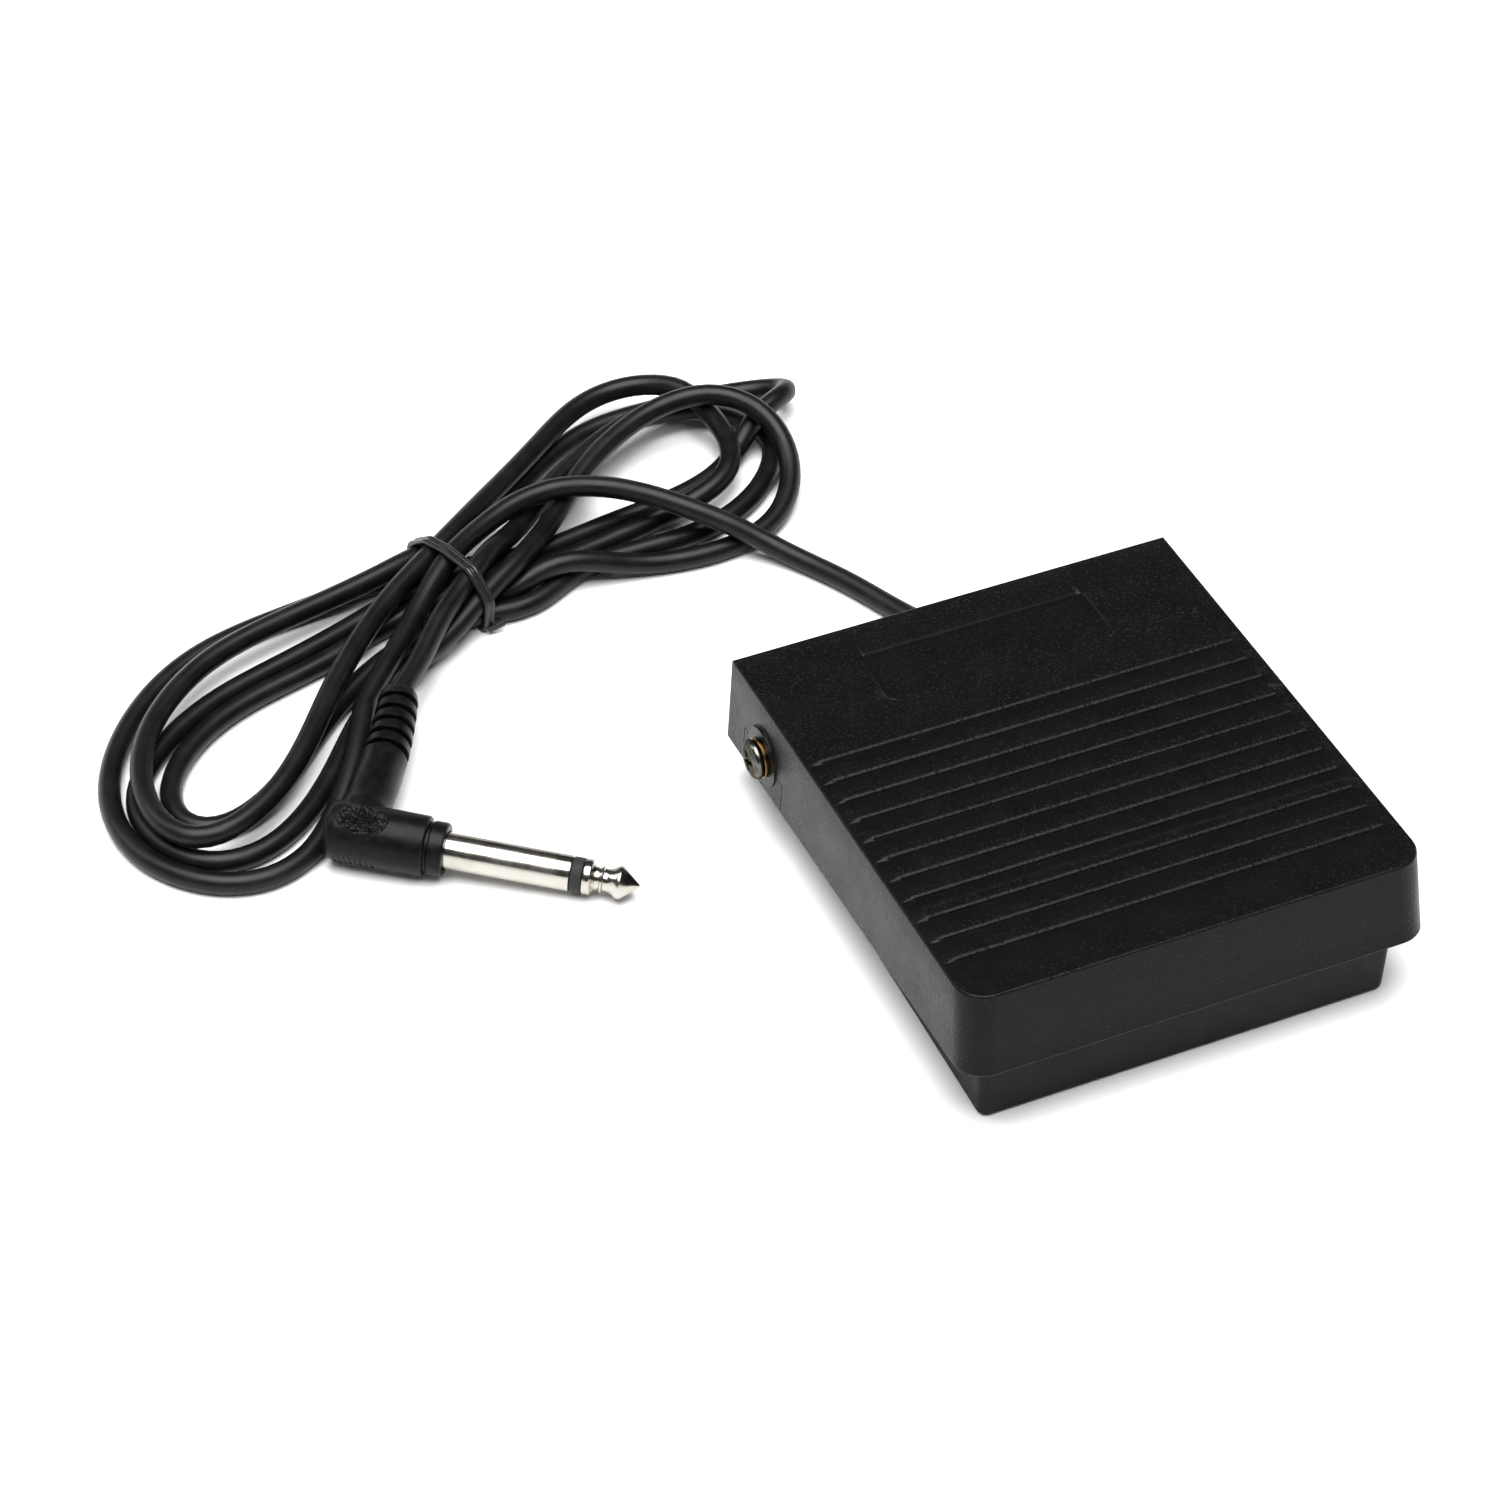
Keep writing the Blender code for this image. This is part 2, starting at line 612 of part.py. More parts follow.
def make_switch(looks):
    half_x, half_y = HOUSING_HALF
    low = FLOOR_Z + GAP
    housing = add_object(
        "switch_housing",
        box((-half_x, SWITCH_Y - half_y, low), (half_x, SWITCH_Y + half_y, HOUSING_TOP_Z)),
        looks["switch_plastic"],
        smooth=False,
    )
    rear_y = SWITCH_Y + half_y
    for name, side in SIDES.items():
        x0, x1 = sorted((side * (half_x - 0.5), side * EAR_END_X))
        ear = box((x0, SWITCH_Y - 2.6, EAR_Z[0]), (x1, SWITCH_Y + 2.6, EAR_Z[1]))
        combine(housing, f"guide_ear_{name}", ear)
        ear_screw = (side * EAR_SCREW_X, SWITCH_Y, 0)
        hole = turned([(1.4, EAR_Z[0] - 1.5), (1.4, EAR_Z[1] + 2.0)], ear_screw, UP, 16)
        combine(housing, f"cut_ear_{name}", hole, "DIFFERENCE")
        middle = side * TERMINAL_X
        slot_half = TERMINAL_HALF_WIDTH + GAP
        slot = box(
            (middle - slot_half, rear_y - 2.5, TERMINAL_Z[0] - GAP),
            (middle + slot_half, rear_y + 1.5, TERMINAL_Z[1] + GAP),
        )
        combine(housing, f"cut_terminal_slot_{name}", slot, "DIFFERENCE")
        strip = box(
            (middle - TERMINAL_HALF_WIDTH, SWITCH_Y - 1.5, TERMINAL_Z[0]),
            (middle + TERMINAL_HALF_WIDTH, rear_y + TERMINAL_REACH, TERMINAL_Z[1]),
        )
        add_object(f"switch_terminal_{name}", strip, looks["brass"], smooth=False)
        place = (side * EAR_SCREW_X, SWITCH_Y, EAR_Z[1] + GAP + SMALL_SCREW["head_height"])
        make_screw(f"switch_screw_{name}", looks["steel"], place, UP, **SMALL_SCREW, length=5.2)
    inner_x, inner_y = half_x - HOUSING_WALL, half_y - HOUSING_WALL
    cavity = box(
        (-inner_x, SWITCH_Y - inner_y, 0.0), (inner_x, SWITCH_Y + inner_y, HOUSING_CEILING_Z)
    )
    combine(housing, "cut_housing_cavity", cavity, "DIFFERENCE")
    foot = (0, SWITCH_Y, 0)
    bore_radius = PLUNGER_RADIUS + 0.4
    bore = turned([(bore_radius, 8.0), (bore_radius, HOUSING_TOP_Z + 2.0)], foot, UP, 24)
    combine(housing, "cut_plunger_bore", bore, "DIFFERENCE")
    skirt_top = HOUSING_CEILING_Z - 0.4
    profile = [
        (4.2, skirt_top - 1.2),
        (4.2, skirt_top),
        (PLUNGER_RADIUS, skirt_top),
        (PLUNGER_RADIUS, PLUNGER_TOP_Z - 0.4),
        (2.0, PLUNGER_TOP_Z),
    ]
    origin = (0, SWITCH_Y, PLUNGER_TOP_Z)
    add_object("switch_plunger", turned(profile, foot, UP, 24), looks["switch_plastic"], origin=origin)
    bridge = box((-4.9, SWITCH_Y - 1.5, BRIDGE_Z[0]), (4.9, SWITCH_Y + 1.5, BRIDGE_Z[1]))
    add_object("bridge_contact", bridge, looks["brass"], origin=origin, smooth=False)


def make_stops(looks):
    for name, side in SIDES.items():
        seat_z, radius = STOP_POST_Z + GAP, STOP_POST_RADIUS - 0.2
        profile = [
            (PEG_RADIUS, seat_z - 3.7),
            (PEG_RADIUS, seat_z),
            (radius, seat_z),
            (radius, STOP_TOP_Z - 0.4),
            (radius - 0.4, STOP_TOP_Z),
        ]
        pad = turned(profile, (side * STOP_X, STOP_Y, 0), UP, 24)
        add_object(f"stop_pad_{name}", pad, looks["rubber"])


def make_inner_cord(looks):
    inner_y = BASE_REAR_Y - BASE_WALL
    profile = [
        (2.5, inner_y),
        (2.6, inner_y + 0.4),
        (2.6, LEDGE_REAR_Y + GAP),
        (3.0, LEDGE_REAR_Y + GAP),
        (3.0, LEDGE_REAR_Y + 1.5),
        (2.75, LEDGE_REAR_Y + 2.0),
        (2.2, GROMMET_END_Y),
    ]
    grommet = turned(profile, (EXIT_X, 0, CORD_Z), (0, 1, 0), 24)
    add_object("cord_grommet", grommet, looks["rubber"])
    start, end = inner_y - GAP, INNER_CORD_END_Y
    points = [(EXIT_X, start + (end - start) * i / 3, CORD_Z) for i in range(4)]
    tube("inner_cord", points, 1.9, looks["cord_jacket"], sides=12)
    terminal_end_y = SWITCH_Y + HOUSING_HALF[1] + TERMINAL_REACH + GAP
    for name, side, bow in (("left", LEFT, (1.5, 26.5)), ("right", RIGHT, (7.2, 26.5))):
        route = [
            (EXIT_X + side * 0.9, end - GAP, CORD_Z),
            (EXIT_X + side * 1.0, end - 2.5, 4.6),
            (bow[0], bow[1], 4.2),
            (side * TERMINAL_X, terminal_end_y + 3.0, 4.9),
            (side * TERMINAL_X, terminal_end_y, 5.7),
        ]
        look = looks["wire_red"] if side == RIGHT else looks["wire_black"]
        tube(f"switch_wire_{name}", smooth_route(route, 4), WIRE_RADIUS, look, sides=8)
    half_x, half_y = CLAMP_HALF
    bar = add_object(
        "cord_clamp",
        box((EXIT_X - half_x, CLAMP_Y - half_y, CLAMP_Z[0]), (EXIT_X + half_x, CLAMP_Y + half_y, CLAMP_Z[1])),
        looks["switch_plastic"],
        smooth=False,
    )
    for name, side in SIDES.items():
        x = EXIT_X + side * CLAMP_SCREW_REACH
        hole = turned([(1.4, CLAMP_Z[0] - 2.0), (1.4, CLAMP_Z[1] + 2.0)], (x, CLAMP_Y, 0), UP, 16)
        combine(bar, f"cut_clamp_{name}", hole, "DIFFERENCE")
        place = (x, CLAMP_Y, CLAMP_Z[1] + GAP + SMALL_SCREW["head_height"])
        make_screw(f"clamp_screw_{name}", looks["steel"], place, UP, **SMALL_SCREW, length=7.4)


def make_free_cord(looks):
    jacket = looks["cord_jacket"]
    tube("cord_lead", smooth_route(LEAD_ROUTE, 2), CORD_RADIUS, jacket, sides=10)
    tube("cord_tail", smooth_route(TAIL_ROUTE, 1), CORD_RADIUS, jacket, sides=10)
    outline = smooth_route([(x, y, 0.0) for x, y in HANK_OUTLINE], 2, cyclic=True)
    low, high = HANK_Z
    bm = bmesh.new()
    skin(bm, [[(p.x, p.y, z) for p in outline] for z in (low, high)])
    add_object("cord_hank", bm, jacket)
    across = TIE_ACROSS.normalized()
    along = Vector((across.y, -across.x, 0.0))
    low, high, radius = TIE_WIRE + 0.05, HANK_Z[1] + GAP + TIE_WIRE, 1.6
    points = []
    corners = [(1, 1, 0), (-1, 1, 90), (-1, -1, 180), (1, -1, 270)]
    steps = 5
    total = 4 * (steps + 1) - 1
    for side, up, start in corners:
        centre_z = high - radius if up > 0 else low + radius
        for i in range(steps + 1):
            angle = math.radians(start + 90 * i / steps)
            reach = side * (TIE_HALF_WIDTH - radius) + radius * math.cos(angle)
            slide = 1.6 * len(points) / total - 0.8
            place = TIE_CENTRE + across * reach + along * slide
            points.append((place.x, place.y, centre_z + radius * math.sin(angle)))
    tube("cord_tie", points, TIE_WIRE, looks["cord_jacket"], sides=8)


def plug_frame():
    yaw = Matrix.Rotation(PLUG_YAW, 4, "Z")
    dip = Matrix.Rotation(PLUG_DIP, 4, "Y")
    roll = Matrix.Rotation(PLUG_ROLL, 4, "X")
    return Matrix.Translation(PLUG_CROSSING) @ yaw @ dip @ roll


def relief_rings(frame, segments=20):
    """Rings along the stem and its flexible, grooved strain relief, which leans a little."""
    stations = [(0.0, STEM_RADIUS), (STEM_END, STEM_RADIUS), (STEM_END + 0.6, STEM_RADIUS - 0.2)]
    for i in range(GROOVE_COUNT):
        y = GROOVE_FIRST + GROOVE_PITCH * i
        outer = STEM_RADIUS - 0.2 - 0.12 * i
        stations += [
            (y, outer),
            (y + 0.2, outer - GROOVE_DEPTH),
            (y + GROOVE_WIDTH - 0.2, outer - GROOVE_DEPTH),
            (y + GROOVE_WIDTH, outer),
        ]
    stations += [(RELIEF_END - 0.6, STEM_RADIUS - 0.9), (RELIEF_END, STEM_RADIUS - 1.3)]
    rings = []
    for y, radius in stations:
        lean = max(0.0, y - STEM_END)
        shift = -0.0042 * lean**2
        slope = math.atan(-0.0084 * lean)
        ring = []
        for k in range(segments):
            angle = 2 * math.pi * k / segments
            x, z = radius * math.cos(angle), radius * math.sin(angle)
            ring.append(frame @ Vector((shift + x * math.cos(slope), y - x * math.sin(slope), z)))
        rings.append(ring)
    return rings


def make_plug(looks):
    frame = plug_frame()
    origin, along = frame.translation, frame.to_3x3() @ Vector((1, 0, 0))
    start, end = BARREL
    profile = [
        (BARREL_RADIUS - 1.8, start),
        (BARREL_RADIUS - 0.5, start + 0.5),
        (BARREL_RADIUS, start + 1.8),
        (BARREL_RADIUS, end - 0.4),
        (BARREL_RADIUS - 0.4, end),
        (COLLAR_RADIUS - 0.3, end),
        (COLLAR_RADIUS - 0.3, end + 0.5),
        (COLLAR_RADIUS, end + 0.6),
        (COLLAR_RADIUS, COLLAR_END - 0.5),
        (COLLAR_RADIUS - 0.3, COLLAR_END),
        (SLEEVE_RADIUS + GAP, COLLAR_END),
        (SLEEVE_RADIUS + GAP, COLLAR_END - SLEEVE_SOCKET),
    ]
    boot = add_object("plug_boot", turned(profile, origin, along, 32), looks["rubber"])
    bm = bmesh.new()
    skin(bm, relief_rings(frame))
    combine(boot, "guide_strain_relief", bm)
    sleeve_start = COLLAR_END - SLEEVE_SOCKET + GAP
    sleeve = [(SLEEVE_RADIUS, sleeve_start), (SLEEVE_RADIUS, SLEEVE_END - GAP)]
    add_object("plug_sleeve", turned(sleeve, origin, along), looks["nickel"])
    ring = [(SLEEVE_RADIUS - 0.1, SLEEVE_END), (SLEEVE_RADIUS - 0.1, INSULATOR_END)]
    add_object("plug_insulator", turned(ring, origin, along), looks["switch_plastic"])
    tip = [
        (3.15, INSULATOR_END + GAP),
        (3.15, INSULATOR_END + 1.5),
        (2.3, INSULATOR_END + 2.1),
        (2.0, INSULATOR_END + 3.6),
        (2.05, INSULATOR_END + 4.6),
        (2.75, INSULATOR_END + 5.6),
        (2.95, INSULATOR_END + 6.3),
        (2.6, INSULATOR_END + 7.0),
        (0.5, TIP_END - 0.2),
        (0.15, TIP_END),
    ]
    add_object("plug_tip", turned(tip, origin, along), looks["nickel"])


def main():
    clear_scene()
    looks = materials()
    make_base(looks)
    make_mat(looks)
    make_cover(looks)
    make_pivots(looks)
    make_springs(looks)
    make_switch(looks)
    make_stops(looks)
    make_inner_cord(looks)
    make_free_cord(looks)
    make_plug(looks)


main()
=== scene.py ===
"""Looks of the sustain pedal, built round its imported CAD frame.

Shapes are in millimetres, and piece() brings them to metres. Lights and materials are in metres."""

from math import atan, atan2, cos, hypot, pi, radians, sin, sqrt, tau

import bmesh
import bpy
import numpy as np
from mathutils import Matrix, Vector
from mathutils.geometry import convex_hull_2d


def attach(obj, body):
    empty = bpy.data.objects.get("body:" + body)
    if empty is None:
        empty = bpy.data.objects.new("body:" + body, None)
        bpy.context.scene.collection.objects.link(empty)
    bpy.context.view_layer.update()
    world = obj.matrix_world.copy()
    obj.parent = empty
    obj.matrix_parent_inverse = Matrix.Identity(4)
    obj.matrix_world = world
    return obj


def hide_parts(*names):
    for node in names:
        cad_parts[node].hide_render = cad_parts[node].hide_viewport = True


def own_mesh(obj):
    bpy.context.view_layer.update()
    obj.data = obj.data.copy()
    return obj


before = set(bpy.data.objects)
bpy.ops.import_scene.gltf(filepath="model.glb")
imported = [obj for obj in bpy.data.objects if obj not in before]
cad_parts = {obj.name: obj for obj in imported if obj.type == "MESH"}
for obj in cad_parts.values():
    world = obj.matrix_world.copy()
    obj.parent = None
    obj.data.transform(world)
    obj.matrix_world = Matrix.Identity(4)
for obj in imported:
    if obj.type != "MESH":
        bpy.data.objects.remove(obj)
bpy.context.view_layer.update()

MM = 0.001

# ---- camera, floor and light

CAMERA_TARGET = Vector((-36.6, 51.7, 0.0))
CAMERA_AZIMUTH = radians(-23.37)
CAMERA_ELEVATION = radians(42.86)
CAMERA_DISTANCE = 792.8
CAMERA_LENS = 108.0


def make_camera():
    data = bpy.data.cameras.new("camera")
    data.lens = CAMERA_LENS
    data.sensor_width = 36.0
    data.clip_start = 0.05
    data.clip_end = 20.0
    camera = bpy.data.objects.new("camera", data)
    bpy.context.scene.collection.objects.link(camera)
    level = cos(CAMERA_ELEVATION)
    across, behind = sin(CAMERA_AZIMUTH) * level, -cos(CAMERA_AZIMUTH) * level
    back = Vector((across, behind, sin(CAMERA_ELEVATION)))
    camera.location = (CAMERA_TARGET + back * CAMERA_DISTANCE) * MM
    camera.rotation_mode = "QUATERNION"
    camera.rotation_quaternion = (-back).to_track_quat("-Z", "Y")
    bpy.context.scene.camera = camera


# ---- materials


class Look:
    """Builds one Principled material whose colour, roughness and bump come from procedural nodes."""

    def __init__(self, name, colour, roughness, metallic=0.0, specular=0.5):
        self.made = bpy.data.materials.new(name)
        self.made.use_nodes = True
        self.tree = self.made.node_tree
        self.shader = self.tree.nodes["Principled BSDF"]
        self.colour = (*colour, 1.0)
        self.shader.inputs["Base Color"].default_value = self.colour
        self.shader.inputs["Roughness"].default_value = roughness
        self.shader.inputs["Metallic"].default_value = metallic
        self.shader.inputs["Specular IOR Level"].default_value = specular
        self.place = self.node("ShaderNodeTexCoord").outputs["Object"]
        self.normal = None

    def node(self, kind, **values):
        made = self.tree.nodes.new(kind)
        for key, value in values.items():
            setattr(made, key, value)
        return made

    def link(self, source, target):
        self.tree.links.new(source, target)

    def stretched(self, scale):
        """Object coordinates, scaled differently along each axis."""
        mapping = self.node("ShaderNodeMapping")
        mapping.inputs["Scale"].default_value = scale
        self.link(self.place, mapping.inputs["Vector"])
        return mapping.outputs["Vector"]

    def noise(self, scale, detail=3.0, roughness=0.5, place=None):
        """Fractal noise from 0 to 1. Scale is in features per metre."""
        made = self.node("ShaderNodeTexNoise")
        made.inputs["Scale"].default_value = scale
        made.inputs["Detail"].default_value = detail
        made.inputs["Roughness"].default_value = roughness
        self.link(place or self.place, made.inputs["Vector"])
        return made.outputs["Fac"]

    def cells(self, scale):
        """Distance from the nearest of many scattered points, softly blended between cells."""
        made = self.node("ShaderNodeTexVoronoi", feature="SMOOTH_F1")
        made.inputs["Scale"].default_value = scale
        self.link(self.place, made.inputs["Vector"])
        return made.outputs["Distance"]

    def ranged(self, source, low, high, new_low=0.0, new_high=1.0):
        """The source with low to high stretched to the new range, and cut off beyond it."""
        made = self.node("ShaderNodeMapRange")
        ends = {"From Min": low, "From Max": high, "To Min": new_low, "To Max": new_high}
        for key, value in ends.items():
            made.inputs[key].default_value = value
        self.link(source, made.inputs["Value"])
        return made.outputs["Result"]

    def bump(self, source, height, distance=0.0001):
        """Adds a bump on top of the ones before it, of this strength and depth in metres."""
        made = self.node("ShaderNodeBump")
        made.inputs["Strength"].default_value = height
        made.inputs["Distance"].default_value = distance
        self.link(source, made.inputs["Height"])
        if self.normal is not None:
            self.link(self.normal, made.inputs["Normal"])
        self.normal = made.outputs["Normal"]
        self.link(self.normal, self.shader.inputs["Normal"])

    def sheen(self, source, low, high):
        """Varies the roughness between two values."""
        self.link(self.ranged(source, 0.3, 0.7, low, high), self.shader.inputs["Roughness"])

    def tint(self, source, colour, span=(0.45, 0.75)):
        """Mixes a second colour in where the source is high."""
        mix = self.node("ShaderNodeMix", data_type="RGBA")
        mix.inputs["A"].default_value = self.colour
        mix.inputs["B"].default_value = (*colour, 1.0)
        self.link(self.ranged(source, *span), mix.inputs["Factor"])
        self.link(mix.outputs["Result"], self.shader.inputs["Base Color"])


def moulded_plastic(name, colour, roughness, grain, grain_height):
    """Spark-eroded moulded plastic: a fine grain with raised specks, slow waves, changes of sheen, and
    lighter flecks in the colour that are painted glints for the grain's sparkle.
    """
    look = Look(name, colour, roughness, specular=0.11)
    fine = look.noise(grain, 4.0, 0.6)
    look.bump(look.cells(grain * 0.7), grain_height, 0.00008)
    look.bump(fine, grain_height, 0.00012)
    specks = look.ranged(look.noise(grain, 0.5), 0.66, 0.74)
    look.bump(specks, grain_height * 1.6, 0.00016)
    look.bump(look.noise(90, 2.0), 0.12, 0.0003)
    look.sheen(look.noise(160, 5.0, 0.6), roughness - 0.05, roughness + 0.07)
    # painted glints: lighter flecks, 1.5 times the colour, where the coarse noise peaks
    look.tint(look.noise(grain * 0.4, 2.0), tuple(1.5 * c for c in colour), (0.62, 0.75))
    return look.made


def make_looks():
    looks = {}
    looks["cover"] = moulded_plastic("cover_moulded", (0.0026, 0.0026, 0.0029), 0.31, 2400, 0.45)
    looks["base"] = moulded_plastic("base_moulded", (0.0036, 0.0036, 0.0035), 0.46, 3200, 0.3)
    looks["plunger"] = moulded_plastic("plunger_moulded", (0.30, 0.29, 0.27), 0.4, 2400, 0.2)
    looks["switch"] = moulded_plastic("switch_moulded", (0.025, 0.025, 0.025), 0.45, 2400, 0.25)

    rubber = Look("rubber_moulded", (0.005, 0.005, 0.005), 0.5, specular=0.2)
    rubber.bump(rubber.noise(3000, 4.0, 0.6), 0.3, 0.00006)
    rubber.bump(rubber.noise(300), 0.2, 0.0002)
    rubber.sheen(rubber.noise(220, 4.0), 0.48, 0.62)
    rubber.tint(rubber.noise(500), (0.011, 0.011, 0.011))
    looks["rubber"] = rubber.made

    boot = Look("boot_moulded", (0.0024, 0.0024, 0.0024), 0.34, specular=0.11)
    boot.bump(boot.noise(1800, 4.0, 0.6), 0.35, 0.00008)
    boot.bump(boot.noise(250), 0.25, 0.0003)
    boot.sheen(boot.noise(300, 4.0), 0.30, 0.42)
    boot.tint(boot.noise(600), (0.006, 0.006, 0.006))
    looks["boot"] = boot.made

    jacket = Look("cord_jacket", (0.0022, 0.0022, 0.0021), 0.38, specular=0.22)
    jacket.bump(jacket.noise(700, 4.0, 0.6), 0.10, 0.0002)
    jacket.bump(jacket.noise(2800, 2.0), 0.08, 0.00005)
    jacket.sheen(jacket.noise(140, 4.0), 0.34, 0.44)
    jacket.tint(jacket.noise(260, 4.0), (0.006, 0.006, 0.006))
    looks["jacket"] = jacket.made

    tie = Look("twist_wire", (0.006, 0.006, 0.006), 0.28, specular=0.35)
    tie.bump(tie.noise(900), 0.12, 0.0001)
    tie.sheen(tie.noise(300), 0.22, 0.36)
    tie.tint(tie.noise(400), (0.014, 0.014, 0.014))
    looks["tie"] = tie.made

    for name, colour in (("wire_red", (0.35, 0.02, 0.015)), ("wire_black", (0.02, 0.02, 0.02))):
        wire = Look(name + "_sheath", colour, 0.35)
        wire.bump(wire.noise(1500), 0.1, 0.00005)
        wire.sheen(wire.noise(400), 0.28, 0.42)
        looks[name] = wire.made

    nickel = Look("nickel_plated", (0.48, 0.46, 0.42), 0.20, 1.0)
    nickel.bump(nickel.noise(500, 4.0, 0.6), 0.05, 0.0001)
    lengthwise = nickel.stretched((0.12, 1.0, 1.0))
    nickel.bump(nickel.noise(6000, 2.0, 0.5, lengthwise), 0.04, 0.00002)
    nickel.sheen(nickel.noise(240, 5.0, 0.65), 0.12, 0.26)
    nickel.tint(nickel.noise(160, 4.0), (0.40, 0.37, 0.32))
    looks["nickel"] = nickel.made

    dark = Look("black_nickel", (0.085, 0.083, 0.076), 0.22, 1.0)
    dark.bump(dark.noise(2500, 4.0), 0.1, 0.00005)
    dark.sheen(dark.noise(600, 4.0), 0.16, 0.30)
    dark.tint(dark.noise(900, 4.0), (0.185, 0.178, 0.16))
    dark.shader.inputs["Specular Tint"].default_value = (0.35, 0.34, 0.32, 1.0)
    looks["dark"] = dark.made

    steel = Look("zinc_plated_steel", (0.55, 0.54, 0.52), 0.3, 1.0)
    steel.bump(steel.noise(3000), 0.08, 0.00004)
    steel.sheen(steel.noise(500, 4.0), 0.24, 0.42)
    steel.tint(steel.noise(300), (0.45, 0.44, 0.43))
    looks["steel"] = steel.made

    brass = Look("turned_brass", (0.19, 0.11, 0.04), 0.22, 1.0)
    brass.bump(brass.noise(3500), 0.08, 0.00004)
    brass.sheen(brass.noise(500, 4.0), 0.2, 0.36)
    brass.tint(brass.noise(350), (0.14, 0.075, 0.03))
    looks["brass"] = brass.made

    paper = Look("floor_paper", (0.86, 0.86, 0.86), 0.9, specular=0.2)
    paper.bump(paper.noise(900, 4.0), 0.02, 0.0001)
    looks["paper"] = paper.made
    return looks


def make_floor(looks):
    """A round floor whose rim curves up into a low backdrop on all sides."""
    flat_radius, bend = 1300.0, 500.0
    profile = [(300.0, 0.0), (800.0, 0.0), (flat_radius, 0.0)]
    for i in range(1, 9):
        a = radians(10 * i)
        profile.append((flat_radius + bend * sin(a), bend * (1 - cos(a))))
    bm = bmesh.new()
    loops = [[bm.verts.new((r * cos(a), r * sin(a), z)) for a in angles(64)] for r, z in profile]
    bm.faces.new(loops[0])
    bridge(bm, loops)
    floor = piece("floor", bm, looks["paper"])
    floor.location = (-0.03, 0.05, 0.0)


def area_light(name, place, aim, size, power):
    data = bpy.data.lights.new(name, "AREA")
    data.shape = "RECTANGLE"
    data.size, data.size_y = size
    data.energy = power
    light = bpy.data.objects.new(name, data)
    light.location = place
    light.rotation_mode = "QUATERNION"
    light.rotation_quaternion = (Vector(aim) - Vector(place)).to_track_quat("-Z", "Y")
    bpy.context.scene.collection.objects.link(light)


def make_lights():
    world = bpy.data.worlds.new("studio")
    world.use_nodes = True
    background = world.node_tree.nodes["Background"]
    background.inputs["Color"].default_value = (1.0, 1.0, 1.0, 1.0)
    background.inputs["Strength"].default_value = 0.06
    bpy.context.scene.world = world
    area_light("overhead_softbox", (-0.15, -0.15, 1.9), (-0.05, 0.05, 0.0), (1.8, 1.8), 96)
    area_light("rear_left_softbox", (-1.2, 1.0, 1.25), (-0.05, 0.08, 0.0), (0.8, 0.8), 9)


# ---- cord

CORD_RADIUS = 2.0
